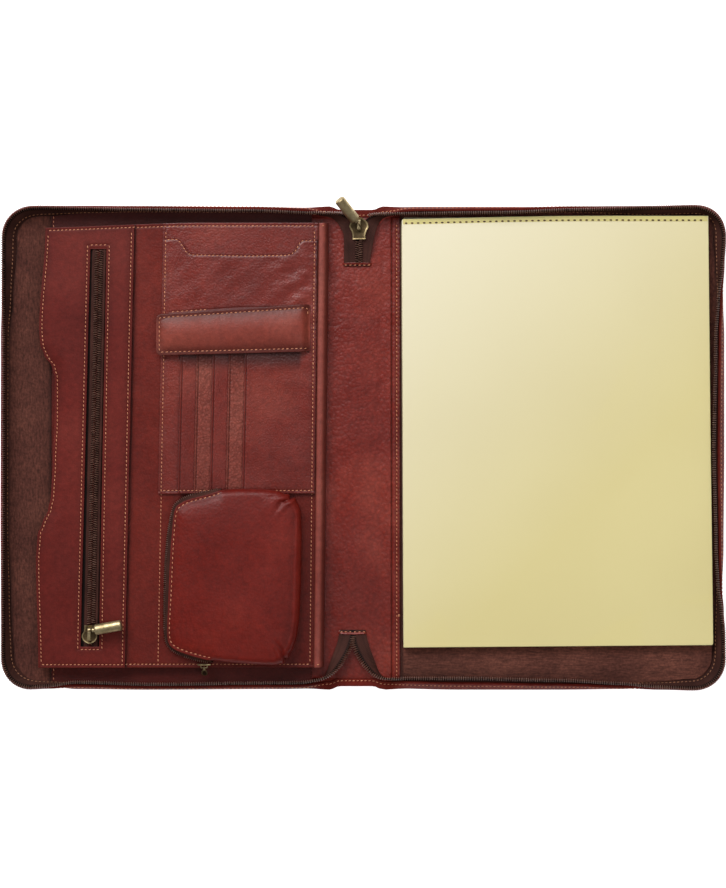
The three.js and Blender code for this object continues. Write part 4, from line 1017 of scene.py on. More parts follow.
spine_grid = pair(np.linspace(0, 1, 190)), pair(spine_columns)
spine = sewn_sheet("spine_leather", *spine_grid, lay_spine, SPINE_LEATHER, 1.1, "leather", ["spine_lining"])

# %% Lips over the tape ends
SLITS = {"head": (128.7, 125.4, -15.2, 6.6), "foot": (-129.3, -126.0, -18.2, 3.2)}  # mouth, sewn edge, ends
LIP_SEAM = 0.4
slit_lips = []
for end, (mouth, sewn, left, right) in SLITS.items():
    def lay_lip(rows, columns):
        x = across(columns, left, right)
        t = rows[:, 0]
        bowed = 0.5 * np.sin((x - left) / (right - left) * math.pi) * (1 - t) * np.sign(mouth)
        y = mouth + (sewn - mouth) * t + bowed
        over_tape = np.minimum(ease(x, left, left + 2.5), ease(-x, -right, -right + 2.5))
        z = LINING_TOP - 0.5 + 2.6 * over_tape * (1 - ease(t, 0.1, 1.0))
        return x, y, z, 0.3 * bell(t - LIP_SEAM, 0.14)

    order = np.linspace(0, 1, 9) if end == "head" else np.linspace(1, 0, 9)
    lip_grid = pair(order), stepped(16, (0, 0.8, 1.8))
    slit_lips.append(
        sewn_sheet(f"slit_lip_{end}", *lip_grid, lay_lip, WORN_LEATHER, 0.8, "leather", rounding=0.25))

# %% [markdown]
# ## The organizer
# The organizer is a stiff leather panel, sewn over a document pocket that is open at the left, where a
# shallow thumb cut lets the papers be drawn out. On it are sewn a zip pocket, a card section and a pouch.
# Its edges lean a little, as they do on the real one, so each is a line from head to foot.

# %% Lines of the organizer
PANEL_TOP, PANEL_FOOT, HEAD_RISE = 152.6, -152.4, 3.7
RIGHT_SEAM, CARD_RIGHT_SEAM = 2.8, 2.3  # from the right edge of the panel and of what lies on it
THUMB_CUT = np.array([
    (-152.4, -225.6), (-78, -227.2), (-60.5, -226.2), (-51.5, -222.8), (-43, -218.8), (-33, -216.8),
    (-10, -215.6), (21, -214.3), (48.5, -214.3), (56, -216), (65, -221.7), (71.5, -224.3), (82, -225),
    (152.6, -220.7),
])


def leaning(head, foot):
    return lambda y: head + (foot - head) * (PANEL_TOP - y) / (PANEL_TOP - PANEL_FOOT)


zip_front_edge = leaning(-158.6, -165.2)
card_edge = leaning(-138.9, -144.7)
panel_right = leaning(-31.0, -34.4)
window_line = leaning(-183.2, -189.8)
window_width = leaning(10.8, 12.6)


def head_slope(x, y):
    """The organizer's head edge rises towards the spine; only the last part below it is drawn up."""
    return y + HEAD_RISE * ease(x, -238, -112) * ease(y, 132, PANEL_TOP)


def thumb_edge(y):
    return reading(THUMB_CUT, y, 1)


def lay_panel(rows, columns):
    y = down(rows, PANEL_TOP, PANEL_FOOT)
    left, right = thumb_edge(y), panel_right(y)
    x = across(columns, left, right)
    sink, line = groove(PANEL_TOP - y, y - PANEL_FOOT, x - left)
    sink_right, line_right = groove(right - x, at=RIGHT_SEAM)
    z = 10.4 + sink + sink_right + rolling(x, y, 60, 0.12, 5)
    # Painted shadow along the right edge of the zip pocket's front.
    gap_shadow = 2.3 * bell(x - zip_front_edge(y) - 0.4, 0.7)
    return x, head_slope(x, y), z, np.maximum.reduce([line, line_right, gap_shadow])


panel_grid = stepped(110), stepped(150)
panel = sewn_sheet("organizer_leather", *panel_grid, lay_panel, LEATHER, 1.3, "leather", ["organizer_panel"])

# %% Rolled edge along the spine
ROLL_PROFILE = np.array([
    (-0.4, 11.9), (0.1, 12.4), (0.8, 12.75), (1.7, 12.95), (2.7, 12.95), (3.6, 12.7), (4.4, 12.2),
    (5.1, 11.5), (5.7, 10.5), (6.2, 9.3), (6.55, 8.0), (6.8, 6.4), (6.9, 4.2),
])


def lay_roll(rows, columns):
    y = down(rows, PANEL_TOP - 0.2, PANEL_FOOT + 0.2)
    out, up = ROLL_PROFILE[columns[:, 0].astype(int)].T
    x = panel_right(y) + out
    soft = rolling(x * 0, y, 50, 0.25, 8) * ease(up, 4, 9)
    # Painted shade on both sides of the roll, which leaves its crest looking lit.
    edge_shade = 1.5 * (1 - ease(out, -0.4, 1.2)) + 1.1 * ease(out, 3.2, 5.4)
    return x, head_slope(x, y), up + soft, edge_shade


roll_grid = stepped(70, (0, 1, 2.1, 3.2)), pair(np.arange(len(ROLL_PROFILE), dtype=float))
roll = sewn_sheet("rolled_edge", *roll_grid, lay_roll, ROLL_LEATHER, 1.0, "leather", ["edge_roll"])
refinish("organizer_gusset", LEATHER)

# %% [markdown]
# ## The zip pocket
# The front of the zip pocket is a smooth leather panel with a long window for its zip. It is one grid
# with two more lines of columns and rows at the window's edges; the cells inside the window are deleted.
# It swells above its sewn edges, because the pocket behind it has room.

# %% Zip pocket front with its window
WINDOW_TOP, WINDOW_FOOT = 138.0, -137.4
SEWN_Z, FULL_Z = 13.2, 15.1


def in_parts(*parts):
    """Steps for a sheet with an opening: each part's number goes before its steps."""
    return np.concatenate([np.column_stack([np.full(len(steps), n), steps]) for n, steps in enumerate(parts)])


def lay_zip_front(rows, columns):
    before = down(rows[:, 1:], PANEL_TOP - 0.2, WINDOW_TOP)
    beside = down(rows[:, 1:], WINDOW_TOP, WINDOW_FOOT)
    after = down(rows[:, 1:], WINDOW_FOOT, PANEL_FOOT + 0.2)
    y = np.choose(rows[:, 0].astype(int), [before, beside, after])
    left, right = thumb_edge(y) + 0.3, zip_front_edge(y)
    near = window_line(y) - window_width(y) / 2
    far = window_line(y) + window_width(y) / 2
    before_window, after_window = across(columns[:, 1:], left, near), across(columns[:, 1:], far, right)
    x = np.where(columns[:, 0] < 0.5, before_window, after_window)
    outside = np.minimum.reduce([x - left, right - x, PANEL_TOP - y, y - PANEL_FOOT])
    gapes = np.minimum.reduce([x - left, right - x + 6, (PANEL_TOP - y) / 5, (y - PANEL_FOOT) / 5])
    beside_window = np.maximum.reduce([near - x, x - far, y - WINDOW_TOP, WINDOW_FOOT - y])
    sink, line = groove(outside, beside_window)
    lip = -0.5 * np.exp(-np.maximum(beside_window, 0) / 0.8)
    z = SEWN_Z + (FULL_Z - SEWN_Z) * ease(gapes, -4, 13) + sink + lip + rolling(x, y, 48, 0.16, 2)
    # The sewn lines, and painted shade that darkens the front towards its head.
    return x, head_slope(x, y), z, line + 0.35 * ease(y, 20, 120)


BORDER_STEPS = (0, 0.5, 1.0, 1.4, 1.75, 2.1, 2.45, 2.8, 3.3, 4.2, 5.6)
front_rows = in_parts(stepped(2, BORDER_STEPS), stepped(90)[1:-1], stepped(2, BORDER_STEPS))
front_columns = in_parts(stepped(12, BORDER_STEPS), stepped(6, BORDER_STEPS))
zip_front = laid_sheet("zip_pocket_leather", front_rows, front_columns, lay_zip_front)


def in_window(face):
    x, y = face.center.x / MM, face.center.y / MM
    half = window_width(y) / 2 - 0.05
    return abs(x - window_line(y)) < half and WINDOW_FOOT < y < WINDOW_TOP


choose_faces(zip_front, in_window)
edit(zip_front, lambda: bpy.ops.mesh.delete(type="FACE"))
coat(zip_front, SMOOTH_LEATHER, EDGE)
thicken(zip_front, 1.2, 0.3)
keep(zip_front, ["zip_pocket_front"])

# %% Tapes in the window
POCKET_TAPE_TOP, TAPE_HEAD, TAPE_FOOT = 13.6, 142.5, -142.0


def lay_pocket_tape(near, far):
    def lay(rows, columns):
        y = down(rows, TAPE_HEAD, TAPE_FOOT)
        offset = near + (far - near) * columns[:, 0]
        from_line = np.abs(offset - 0.45)
        ridge = 0.3 * bell(from_line - 4.0, 0.5)
        sunk = ease(from_line, 4.5, 5.2)
        past_head, past_foot = ease(y, WINDOW_TOP - 3, WINDOW_TOP), ease(-y, -WINDOW_FOOT - 3, -WINDOW_FOOT)
        past_window = np.maximum(past_head, past_foot)
        z = POCKET_TAPE_TOP + ridge - 0.9 * sunk - 1.3 * past_window
        # Painted shadow where the tape sinks under the window's edges, and painted shade under the teeth.
        under_teeth = 0.5 * (1 - ease(from_line, 1.8, 2.9))
        return window_line(y) + offset, y, z, np.maximum(sunk, under_teeth)

    return lay


for name, near, far in (("pocket_tape_left", -9.0, -1.2), ("pocket_tape_right", 1.2, 9.0)):
    tape_grid = stepped(60, (0, 1)), pair(np.linspace(0, 1, 26))
    strip = laid_sheet(name.replace("pocket_tape", "window_tape"), *tape_grid, lay_pocket_tape(near, far))
    coat(strip, TAPE)
    thicken(strip, 0.6, 0.0)
    keep(strip, [name])

# %% Closed chains
CHAIN_ASIDE = 0.5  # the chain lies a little to the right in its window
CHAIN_RIB = (RIB[0] * (0.82, 1.0, 0.9), RIB[1])
RIB_LEAN, RIB_APART = 0.16, 0.46


def closed_chain(name, line, half, nodes):
    """Two rows of ribs that mesh along a line of points."""
    reached = reached_along(line)
    onward = unit(line[-1] - line[0])
    sideways = unit(np.cross(onward, (0, 0, 1.0)))
    up = np.cross(sideways, onward)
    places, turns = [], []
    for way, shift in ((-1, 0.0), (1, TOOTH_PITCH / 2)):
        for distance in np.arange(0.8 + shift, reached[-1] - 0.5, TOOTH_PITCH):
            spot = sampled([distance], reached, line)[0]
            places.append(spot + sideways * way * half * RIB_APART)
            first = unit(sideways * way + onward * RIB_LEAN)
            turns.append(axes(first, np.cross(up, first), up))
    chain = copies(name, CHAIN_RIB, np.array(turns), np.array(places), TEETH)
    return keep(chain, nodes)


chain_y = np.linspace(137.4, -122.4, 20)
chain_z = np.full(len(chain_y), POCKET_TAPE_TOP + 0.75)
pocket_line = np.stack([window_line(chain_y) + CHAIN_ASIDE, chain_y, chain_z], 1)
closed_chain("pocket_teeth", pocket_line, 3.1, ["pocket_zip_coil"])
end_line = np.array([(-3.4, 128.4, 5.7), (-3.3, 137, 6.5), (-3.2, 145, 7.6)])
closed_chain("closed_end_teeth", end_line, 2.5, ["zip_chain_end"])

# %% [markdown]
# ## The card section
# A leather backing is sewn on the right half of the organizer. On it lie a wide pocket with a scooped
# mouth, and below that four card slots and a plain front, lapped like roof tiles: each mouth lies on the
# leather before it. Every mouth is a turned edge with a crease pressed beside it.

# %% Backing of the card section
CARD_FOOT, CARD_ROW = -32.0, -29.4


def lay_backing(rows, columns):
    y = down(rows, PANEL_TOP - 0.1, CARD_FOOT)
    left, right = card_edge(y), panel_right(y) - 0.5
    x = across(columns, left, right)
    sink, line = groove(PANEL_TOP - y, x - left, y - CARD_FOOT)
    sink_right, line_right = groove(right - x, at=CARD_RIGHT_SEAM)
    z = 12.0 + sink + sink_right + rolling(x, y, 40, 0.1, 6)
    return x, head_slope(x, y), z, np.maximum(line, line_right)


backing_grid = stepped(60), stepped(40)
backing = sewn_sheet(
    "card_backing_leather", *backing_grid, lay_backing, WORN_LEATHER, 1.2, "leather", ["card_backing"])

# %% Scooped pocket
MOUTH = np.array([
    (-139.5, 145.5), (-136.7, 145.5), (-129.4, 145.7), (-127.4, 144.6), (-125.6, 142.3), (-121.4, 136.0),
    (-118.8, 134.9), (-80, 134.1), (-55, 134.5), (-50.6, 135.2), (-47.4, 138.2), (-44.8, 143.2),
    (-42.6, 144.7), (-30, 144.7),
])
SCOOP_FOOT, SCOOP_MIDDLE, SCOOP_SEAM, SCOOP_Z = 82.0, 115.0, 1.2, 13.6


def mouth_edge(x):
    spread = [np.interp(x + shift, MOUTH[:, 0], MOUTH[:, 1]) for shift in (-0.8, -0.4, 0, 0.4, 0.8)]
    return np.mean(spread, axis=0)


def lay_scoop(rows, columns):
    left, right = card_edge(SCOOP_MIDDLE) + 0.8, panel_right(SCOOP_MIDDLE) - 1.2
    x = across(columns, left, right)
    top = mouth_edge(x)
    y = down(rows, top, SCOOP_FOOT)
    x = x + (card_edge(y) - card_edge(SCOOP_MIDDLE))
    slope = (mouth_edge(x + 0.2) - mouth_edge(x - 0.2)) / 0.4
    from_mouth = (top - y) / np.sqrt(1 + slope**2)
    sink, line = groove(from_mouth, at=SCOOP_SEAM, depth=0.3)
    sink_side, line_side = groove(x - card_edge(y), at=SEAM)
    sink_right, line_right = groove(panel_right(y) - 0.5 - x, at=CARD_RIGHT_SEAM)
    soft_zone = ease(x, -75, -42) * (0.5 + 0.5 * ease(y, 95, 120))
    wrinkles = rolling(x * 0.7, y * 1.6, 6.5, 0.24, 21) * soft_zone + rolling(x, y, 17, 0.34, 22) * (0.35 + soft_zone)
    z = SCOOP_Z + sink + sink_side + sink_right
    z = z + wrinkles * ease(from_mouth, 0.5, 5) + rolling(x, y, 45, 0.18, 23)
    # A dark line at the right cut edge: partly edge paint, partly painted shadow.
    edge_paint_and_shadow = 2.2 * np.exp(-(panel_right(y) - 1.2 - x) / 0.6)
    return x, y, z, np.maximum.reduce([line, line_side, line_right, edge_paint_and_shadow])


scoop_rows = stepped(34, (0, 0.35, 0.7, 0.95, 1.2, 1.45, 1.7, 2.1, 3, 4.5))
scoop_grid = scoop_rows, stepped(110, (0, 0.6, 1.2, 1.6, 2, 2.4, 3))
scoop = sewn_sheet("scooped_pocket", *scoop_grid, lay_scoop, WORN_LEATHER, 1.2, "leather", ["scoop_pocket"])

# %% Card slots
STRIP_FIRST, STRIP_PITCH, STRIP_HEAD = -127.2, 11.1, 81.8
STRIP_LOW, STRIP_RISE, CREASE = 13.3, 1.9, 1.7
LEAN = math.tan(math.radians(1.25))
FLAP_SHADOW, FLAP_SHADOW_START, FLAP_SHADOW_FULL = 2.1, 51.0, 62.5  # painted shadow of the flap on the leather below it
FLAP_SHADE_FROM, FLAP_SHADE_TO = -45, -41.5  # that painted shadow ends beside the flap's sewn end
WIDE = 30  # a sheet wider than this is the plain front
strip_columns = np.array([0, 0.35, 0.8, 1.25, 1.5, 1.7, 1.9, 2.2, 3, 4.5, 6.5, 8.5, 10.5, 12.5, 14, 15.7])
front_steps = np.concatenate([strip_columns[:9], np.linspace(4, 46, 30), np.linspace(46.5, 50.5, 12)])


def lay_strip(index, width):
    def lay(rows, columns):
        y = down(rows, STRIP_HEAD, CARD_FOOT + 0.6)
        mouth = STRIP_FIRST + index * STRIP_PITCH - LEAN * (44 - y)
        limit = panel_right(y) - 1.2 - mouth
        from_mouth = columns[:, 0] * np.where(width > WIDE, limit / width, 1)
        x = mouth + from_mouth
        crease = bell(from_mouth - CREASE, 0.32)
        wall = 0.25 * bell(from_mouth - 0.7, 0.8)
        z = STRIP_LOW + STRIP_RISE * (1 - from_mouth / width) - 0.3 * crease + wall
        sink, line = groove(y - CARD_FOOT, at=2.6)
        right_line = np.zeros_like(x)
        if width > WIDE:
            z = STRIP_LOW + STRIP_RISE * (1 - from_mouth / limit) - 0.3 * crease + wall
            sink_right, right_line = groove(limit - from_mouth, at=1.6)
            wrinkles = rolling(x, y, 16, 0.12, 33) * ease(x, -78, -60)
            z = z + sink_right + wrinkles + rolling(x, y, 40, 0.2, 34)
        else:
            z = z + rolling(x, y, 30, 0.08, 40 + index)
        # Painted shadow of the flap on the card leather.
        flap_shadow = FLAP_SHADOW * ease(y, FLAP_SHADOW_START, FLAP_SHADOW_FULL) * (1 - ease(x, FLAP_SHADE_FROM, FLAP_SHADE_TO))
        # Painted shade at each mouth's turned edge and in the crease beside it.
        edge_line = 2.2 * np.exp(-from_mouth / 0.35)
        return x, y, z + sink, np.maximum.reduce([1.9 * crease, edge_line, line, right_line, flap_shadow])

    return lay


card_pieces = {}
for index in range(5):
    wide = index == 4
    name = "card_front" if wide else f"card_strip_{index + 1}"
    finish = GRAINED_LEATHER if index in (1, 3) else WORN_LEATHER
    columns = front_steps if wide else strip_columns
    card_grid = stepped(44, (0, 0.6, 1.4, 2, 2.6, 3.2, 4)), pair(columns)
    lay = lay_strip(index, columns[-1])
    card_pieces[name] = sewn_sheet(name + "_leather", *card_grid, lay, finish, 0.9, "leather", [name], 0.3)

# %% [markdown]
# ## The padded flap
# A padded band of leather closes over the heads of the cards. It is a flat sheet sewn round its edge and
# stuffed, so it is made that way here: a grid is pinned along its stitched hem and blown up a little by
# cloth pressure, with some slack in the leather. Its right end bends down to where it is sewn on.

# %% Lay the flap flat
FLAP_LEFT, FLAP_RIGHT, FLAP_Z, FLAP_ROUND = -143.4, -36.6, 16.9, 3.6
FLAP_EDGE_SHADE = 1.25  # painted shade towards the flap's top and bottom edges, which leaves its middle looking lit
FLAP_SEAM = 2.3


def flap_top(x):
    return 92.2 + (x - FLAP_LEFT) / (FLAP_RIGHT - FLAP_LEFT) * 7.3


def flap_foot(x):
    return 63.9 + (x - FLAP_LEFT) / (FLAP_RIGHT - FLAP_LEFT) * 2.8


def rounded(first, second, radius):
    """Two distances from the edges of a corner, moved in so that the corner is round."""
    p, q = np.maximum(radius - first, 0), np.maximum(radius - second, 0)
    inside = (p > 0) & (q > 0)
    squeeze = np.where(inside, np.maximum(p, q) / np.maximum(np.hypot(p, q), 1e-9), 1.0)
    return np.where(inside, radius - p * squeeze, first), np.where(inside, radius - q * squeeze, second)


def lay_flap(rows, columns):
    x = across(columns, FLAP_LEFT, FLAP_RIGHT)
    y = down(rows, flap_top(x), flap_foot(x))
    left, right, top, foot = x - FLAP_LEFT, FLAP_RIGHT - x, flap_top(x) - y, y - flap_foot(x)
    for above in (True, False):
        edge = top if above else foot
        new_left, edge = rounded(left, edge, FLAP_ROUND)
        new_right, edge = rounded(right, edge, 2.0)
        x = np.where(new_right != right, FLAP_RIGHT - new_right, x)
        x = np.where(new_left != left, FLAP_LEFT + new_left, x)
        y = flap_top(x) - edge if above else np.where(edge != foot, flap_foot(x) + edge, y)
    hem = np.minimum.reduce([left, top, foot])
    sink, line = groove(hem, at=FLAP_SEAM)
    puff = 0.5 * ease(hem, 2.4, 7.5) * ease(right, 3, 10)
    share = (y - flap_foot(x)) / (flap_top(x) - flap_foot(x))
    # Painted shade: darker towards the top and bottom edges, lightest along the middle.
    edge_shade = FLAP_EDGE_SHADE * (1 - np.sin(np.clip(share, 0, 1) * math.pi))
    return x, y, FLAP_Z + 0.3 * sink + puff + rolling(x, y, 14, 0.05, 51), line + edge_shade


flap_steps = (0, 0.5, 1.0, 1.5, 1.9, 2.3, 2.7, 3.2, 4, 5)
flap = laid_sheet("padded_flap", stepped(14, flap_steps), stepped(64, flap_steps), lay_flap)
print("flat flap", len(flap.data.vertices), "points")

# %% Blow up the padding
FLAP_SLACK, FLAP_PRESSURE, FLAP_CAP, LAST_FRAME = 0.02, 2600.0, 3.6, 20
FLAP_BEND_FROM, FLAP_BEND = -42.6, 3.0


def pad_out(piece, is_sewn, pressure, slack):
    """Cloth pressure from below, held where is_sewn says; the settled shape is applied."""
    sewn = piece.vertex_groups.new(name="sewn")
    sewn.add(np.flatnonzero(is_sewn).tolist(), 1.0, "REPLACE")
    cloth = piece.modifiers.new("padding", "CLOTH")
    cloth.settings.quality = 8
    cloth.settings.use_pressure = True
    cloth.settings.uniform_pressure_force = pressure
    cloth.settings.shrink_min = -slack
    cloth.settings.bending_stiffness = 20.0
    cloth.settings.vertex_group_mass = "sewn"
    cloth.settings.effector_weights.gravity = 0.0
    cloth.collision_settings.use_collision = False
    cloth.point_cache.frame_start, cloth.point_cache.frame_end = 1, LAST_FRAME
    for frame_number in range(1, LAST_FRAME + 1):
        bpy.context.scene.frame_set(frame_number)
    take(piece)
    bpy.ops.object.modifier_apply(modifier=cloth.name)
    bpy.context.scene.frame_set(1)
    piece.vertex_groups.clear()


flat_spots = points_of(flap) / MM
flap_hem = np.minimum.reduce([
    flat_spots[:, 0] - FLAP_LEFT, FLAP_RIGHT - flat_spots[:, 0] + 0.6,
    flap_top(flat_spots[:, 0]) - flat_spots[:, 1], flat_spots[:, 1] - flap_foot(flat_spots[:, 0]),
])
pad_out(flap, flap_hem < 2.75, FLAP_PRESSURE, FLAP_SLACK)
lift = points_of(flap)[:, 2] / MM
print("padding rises", round(float(lift.max() - FLAP_Z), 2), "mm")

# %% Cap the padding, bend its end and give it thickness
padding = flap.vertex_groups.new(name="padding")
for index, weight in enumerate(ease(flap_hem, 2.9, 6.0)):
    padding.add([index], float(weight), "REPLACE")
apply_modifier(flap, "SMOOTH", factor=0.5, iterations=24, vertex_group="padding")
flap.vertex_groups.clear()
puffed = points_of(flap) / MM
rise = puffed[:, 2] - FLAP_Z
puffed[:, 2] = FLAP_Z + np.maximum(rise, -0.4) * np.minimum(1, FLAP_CAP / rise.max())
puffed[:, 2] -= FLAP_BEND * ease(puffed[:, 0], FLAP_BEND_FROM, FLAP_RIGHT)
lay_points(flap, puffed)
coat(flap, FLAP_LEATHER, EDGE)
thicken(flap, 1.2, 0.35)
keep(flap, ["flap"])

# %% Hinge strip above the flap
HINGE_LEFT, HINGE_RIGHT, HINGE_ABOVE, HINGE_SEAM, HINGE_Z = -134.6, -43.5, 2.4, 1.2, 15.3


def lay_hinge(rows, columns):
    x = across(columns, HINGE_LEFT, HINGE_RIGHT)
    above = HINGE_ABOVE - 2.0 * ease(x, -90, -45)
    y = flap_top(x) + down(rows, above, -4.0)
    sink, line = groove(flap_top(x) + above - y, x - HINGE_LEFT, at=HINGE_SEAM, depth=0.25)
    return x, y, HINGE_Z + sink - 0.5 * ease(y, flap_top(x) - 1, flap_top(x) + HINGE_ABOVE), line


hinge_steps = (0, 0.4, 0.9, 1.3, 1.7, 2.2)
hinge_grid = stepped(3, hinge_steps), stepped(40, hinge_steps)
hinge = sewn_sheet("flap_hinge", *hinge_grid, lay_hinge, LEATHER, 0.8, "leather", rounding=0.25)

# %% [markdown]
# ## The pouch
# The pouch is a soft bag of leather, filled and closed by its own small zip on the left. Its top is drawn
# as a closed outline; stations go round it, and at each one a row of points goes from the middle of the
# top over the edge and down to the base. On the leather sides the edge is rolled, on the zip side it ends
# in a stitched lip above the zip. Two corners are gathered in a pleat.

# %% Outline of the pouch
POUCH_MIDDLE = np.array([-90.0, -90.0])
POUCH_EDGE = np.array([
    (-95.95, -28.0), (-63.1, -28.2), (-51.8, -31.8), (-44.5, -38.0), (-42.4, -48.3), (-43.3, -106.2),
    (-45.4, -129.5), (-50, -142.7), (-56.9, -149.3), (-63.1, -150.4), (-101.7, -147.6), (-119, -143.2),
    (-130, -139.2), (-134.2, -135.6), (-135.5, -129.5), (-134.85, -111.1), (-133.5, -75.9), (-131.4, -49.7),
    (-130, -42), (-128, -39), (-120.8, -35.2), (-105.6, -31.6),
])
ZIP_FOOT = np.array([
    (-97.95, -29.3), (-111.1, -30.8), (-121.5, -33.2), (-128.4, -37.4), (-131.9, -42.6), (-135.3, -55.9),
    (-137.4, -76.2), (-138.1, -106.6), (-138.1, -127), (-136.4, -135), (-128.4, -142.2), (-116, -146.3),
    (-104.2, -148.1),
])


def softened(outline, times, closed=True):
    """Cuts the corners of an outline a few times."""
    for _ in range(times):
        after = np.roll(outline, -1, axis=0)
        cut = np.stack([0.75 * outline + 0.25 * after, 0.25 * outline + 0.75 * after], 1).reshape(-1, 2)
        outline = cut if closed else np.concatenate([outline[:1], cut[:-2], outline[-1:]])
    return outline


def even_outline(outline, count):
    ring = np.concatenate([outline, outline[:1]])
    reached = reached_along(ring)
    at = np.linspace(0, reached[-1], count + 1)[:-1]
    return sampled(at, reached, ring)


def turn_of(spots):
    return np.arctan2(spots[:, 1] - POUCH_MIDDLE[1], spots[:, 0] - POUCH_MIDDLE[0])


POUCH_STATIONS = even_outline(softened(POUCH_EDGE, 2), 400)
foot_line = softened(ZIP_FOOT, 2, closed=False)
round_turn = np.degrees(turn_of(POUCH_STATIONS)) % 360
ZIP_SHARE = ease(round_turn, 95, 101) * (1 - ease(round_turn, 252, 258))
print("pouch stations", len(POUCH_STATIONS))

# %% Rows from the middle of the pouch to its base
POUCH_CROWN, POUCH_RIM, ROLL, POUCH_BASE, POUCH_LIMIT = 2.9, 22.0, 5.0, 11.0, 25.4
CROWN_EDGE, LIP_ROW = 7.5, 1.9
crown_shares = [0.0, 0.08, 0.18, 0.3, 0.42, 0.54, 0.65, 0.75, 0.83, 0.89]
edge_insets = [6.8, 5.8, 5.0, 4.3, 3.6, 3.0, 2.5, 2.1, 1.7, 1.3, 0.9, 0.5, 0.2, 0.0]
rolled_down = [(0.0, 16.6), (0.1, 15.0), (0.35, 13.6), (0.9, 12.4), (1.7, 11.4), (6, 11.0)]
lip_down = [(0.05, 20.8), (0.5, 20.2), (2.3, 20.0), (2.7, 15.5), (2.7, 11.6), (6, 11.0)]
pouch_rows = [(0, c, 0) for c in crown_shares] + [(1, i, 0) for i in edge_insets]
pouch_rows += [(2, n, 0) for n in range(len(rolled_down))] + [(3, 0, 0)]
PLEATS = [((-50.5, -34.6), (-0.78, -0.62)), ((-53.6, -146.6), (-0.62, 0.79))]  # corner, way inwards
PLEAT_WAVES = [  # height, place, width
    (1.1, 2.6, 1.5), (-1.5, 0.0, 1.0), (0.55, -2.8, 1.6), (-0.5, -5.2, 1.2),
]
print("pouch rows", len(pouch_rows))


# %% Lay the pouch
def pleat(x, y):
    """Ridges and valleys that run in from the two gathered corners."""
    total = np.zeros_like(x)
    for (corner_x, corner_y), (way_x, way_y) in PLEATS:
        inward = (x - corner_x) * way_x + (y - corner_y) * way_y
        aside = (x - corner_x) * -way_y + (y - corner_y) * way_x + 0.04 * inward**2
        fade = ease(inward, -9, -1) * (1 - ease(inward, 3, 19))
        for height, place, width in PLEAT_WAVES:
            total += fade * height * bell(aside - place, width)
    return total


def lay_pouch(rows, columns):
    station = columns[:, 0].astype(int) % len(POUCH_STATIONS)
    edge, zipped = POUCH_STATIONS[station], ZIP_SHARE[station]
    outward = edge - POUCH_MIDDLE
    reach = np.linalg.norm(outward, axis=1)
    outward = outward / reach[:, None]
    part, step = rows[:, 0].astype(int), rows[:, 1]
    low = np.clip(step.astype(int), 0, len(rolled_down) - 1)
    rolled, lipped = np.array(rolled_down)[low], np.array(lip_down)[low]
    over_cards = 4.8 * ease(edge[:, 1], -38, -30) * ease(rolled[:, 1], 17.0, 15.0)
    down_side = rolled + (lipped - rolled) * zipped[:, None]
    on_crown = (1 - step) * (reach - CROWN_EDGE) + CROWN_EDGE
    below_edge = down_side[:, 0] + over_cards
    inset = np.select([part == 0, part == 1, part == 2], [on_crown, step, below_edge], reach)
    inset = np.where((part == 0) & (step == 0), reach, inset)
    share = np.clip((reach - inset) / reach, 0, 1)
    spots = POUCH_MIDDLE + outward * (reach - inset)[:, None]
    x, y = spots.T
    crown = POUCH_RIM + POUCH_CROWN * (1 - share**3.2) + rolling(x, y, 42, 0.3, 61) * (1 - share**6)
    drop = ROLL - np.sqrt(np.maximum(ROLL**2 - np.maximum(ROLL - inset, 0) ** 2, 0))
    sink, line = groove(inset, at=LIP_ROW, depth=0.35)
    side_fold = ease(edge[:, 0], -56, -47) * bell(inset - 6.2, 1.1) * (part <= 1)
    wrinkles = ease(x, -78, -56) * rolling(x * 1.4, y * 0.7, 11, 0.3, 62) * (1 - share**10)
    lip = crown - 0.9 * ease(-inset, -9, -2.5) + sink
    top = crown - drop * (1 - zipped) + (lip - crown) * zipped - 0.55 * side_fold + wrinkles
    z = np.select([part <= 1, part == 2], [top, down_side[:, 1]], POUCH_BASE)
    fold = pleat(x, y)
    steep = np.where(part == 2, 1.0, np.where(part == 1, ease(-inset, -4.5, 0), 0.0)) * (part < 3)
    push = np.where((part == 2) & (step > 3), 0.0, fold)
    x, y = x + outward[:, 0] * push * steep, y + outward[:, 1] * push * steep
    z = z + push * (1 - steep) * (part < 3)
    # The lip's sewn line, and painted shade in the pleats' valleys and along the side fold.
    seam_and_shade = np.where(part == 1, line * zipped, 0) + 0.6 * np.clip(-fold, 0, 1) * (part < 3) + 0.8 * side_fold
    return x, y, np.minimum(z, POUCH_LIMIT), np.clip(seam_and_shade, 0, 1)


pouch_columns = pair(np.arange(len(POUCH_STATIONS) + 1, dtype=float))
pouch = laid_sheet("pouch_leather", np.array(pouch_rows, float), pouch_columns, lay_pouch)
merge_all(pouch, 0.02)
face_outwards(pouch)
coat(pouch, POUCH_LEATHER)
smooth(pouch, 50)
keep(pouch, ["pouch_shell"])

# %% Zip band of the pouch
zip_stations = np.flatnonzero(ZIP_SHARE > 0.5)
lip_line = POUCH_STATIONS[zip_stations]
lip_out = unit(lip_line - POUCH_MIDDLE)
at_foot = np.linspace(0, reached_along(foot_line)[-1], len(lip_line))
foot_spots = sampled(at_foot, reached_along(foot_line), foot_line)
if np.linalg.norm(foot_spots[0] - lip_line[0]) > np.linalg.norm(foot_spots[-1] - lip_line[0]):
    foot_spots = foot_spots[::-1]


def band_spot(station, share):
    """A point of the zip band, from under the lip (share 0) to the foot (share 1)."""
    under = lip_line[station] - lip_out[station] * 1.3
    flat = under + (foot_spots[station] - under) * share[:, None]
    flat = flat + lip_out[station] * (1.7 * np.sin(share * math.pi) ** 0.8)[:, None]
    return flat[:, 0], flat[:, 1], 19.6 - 8.2 * share


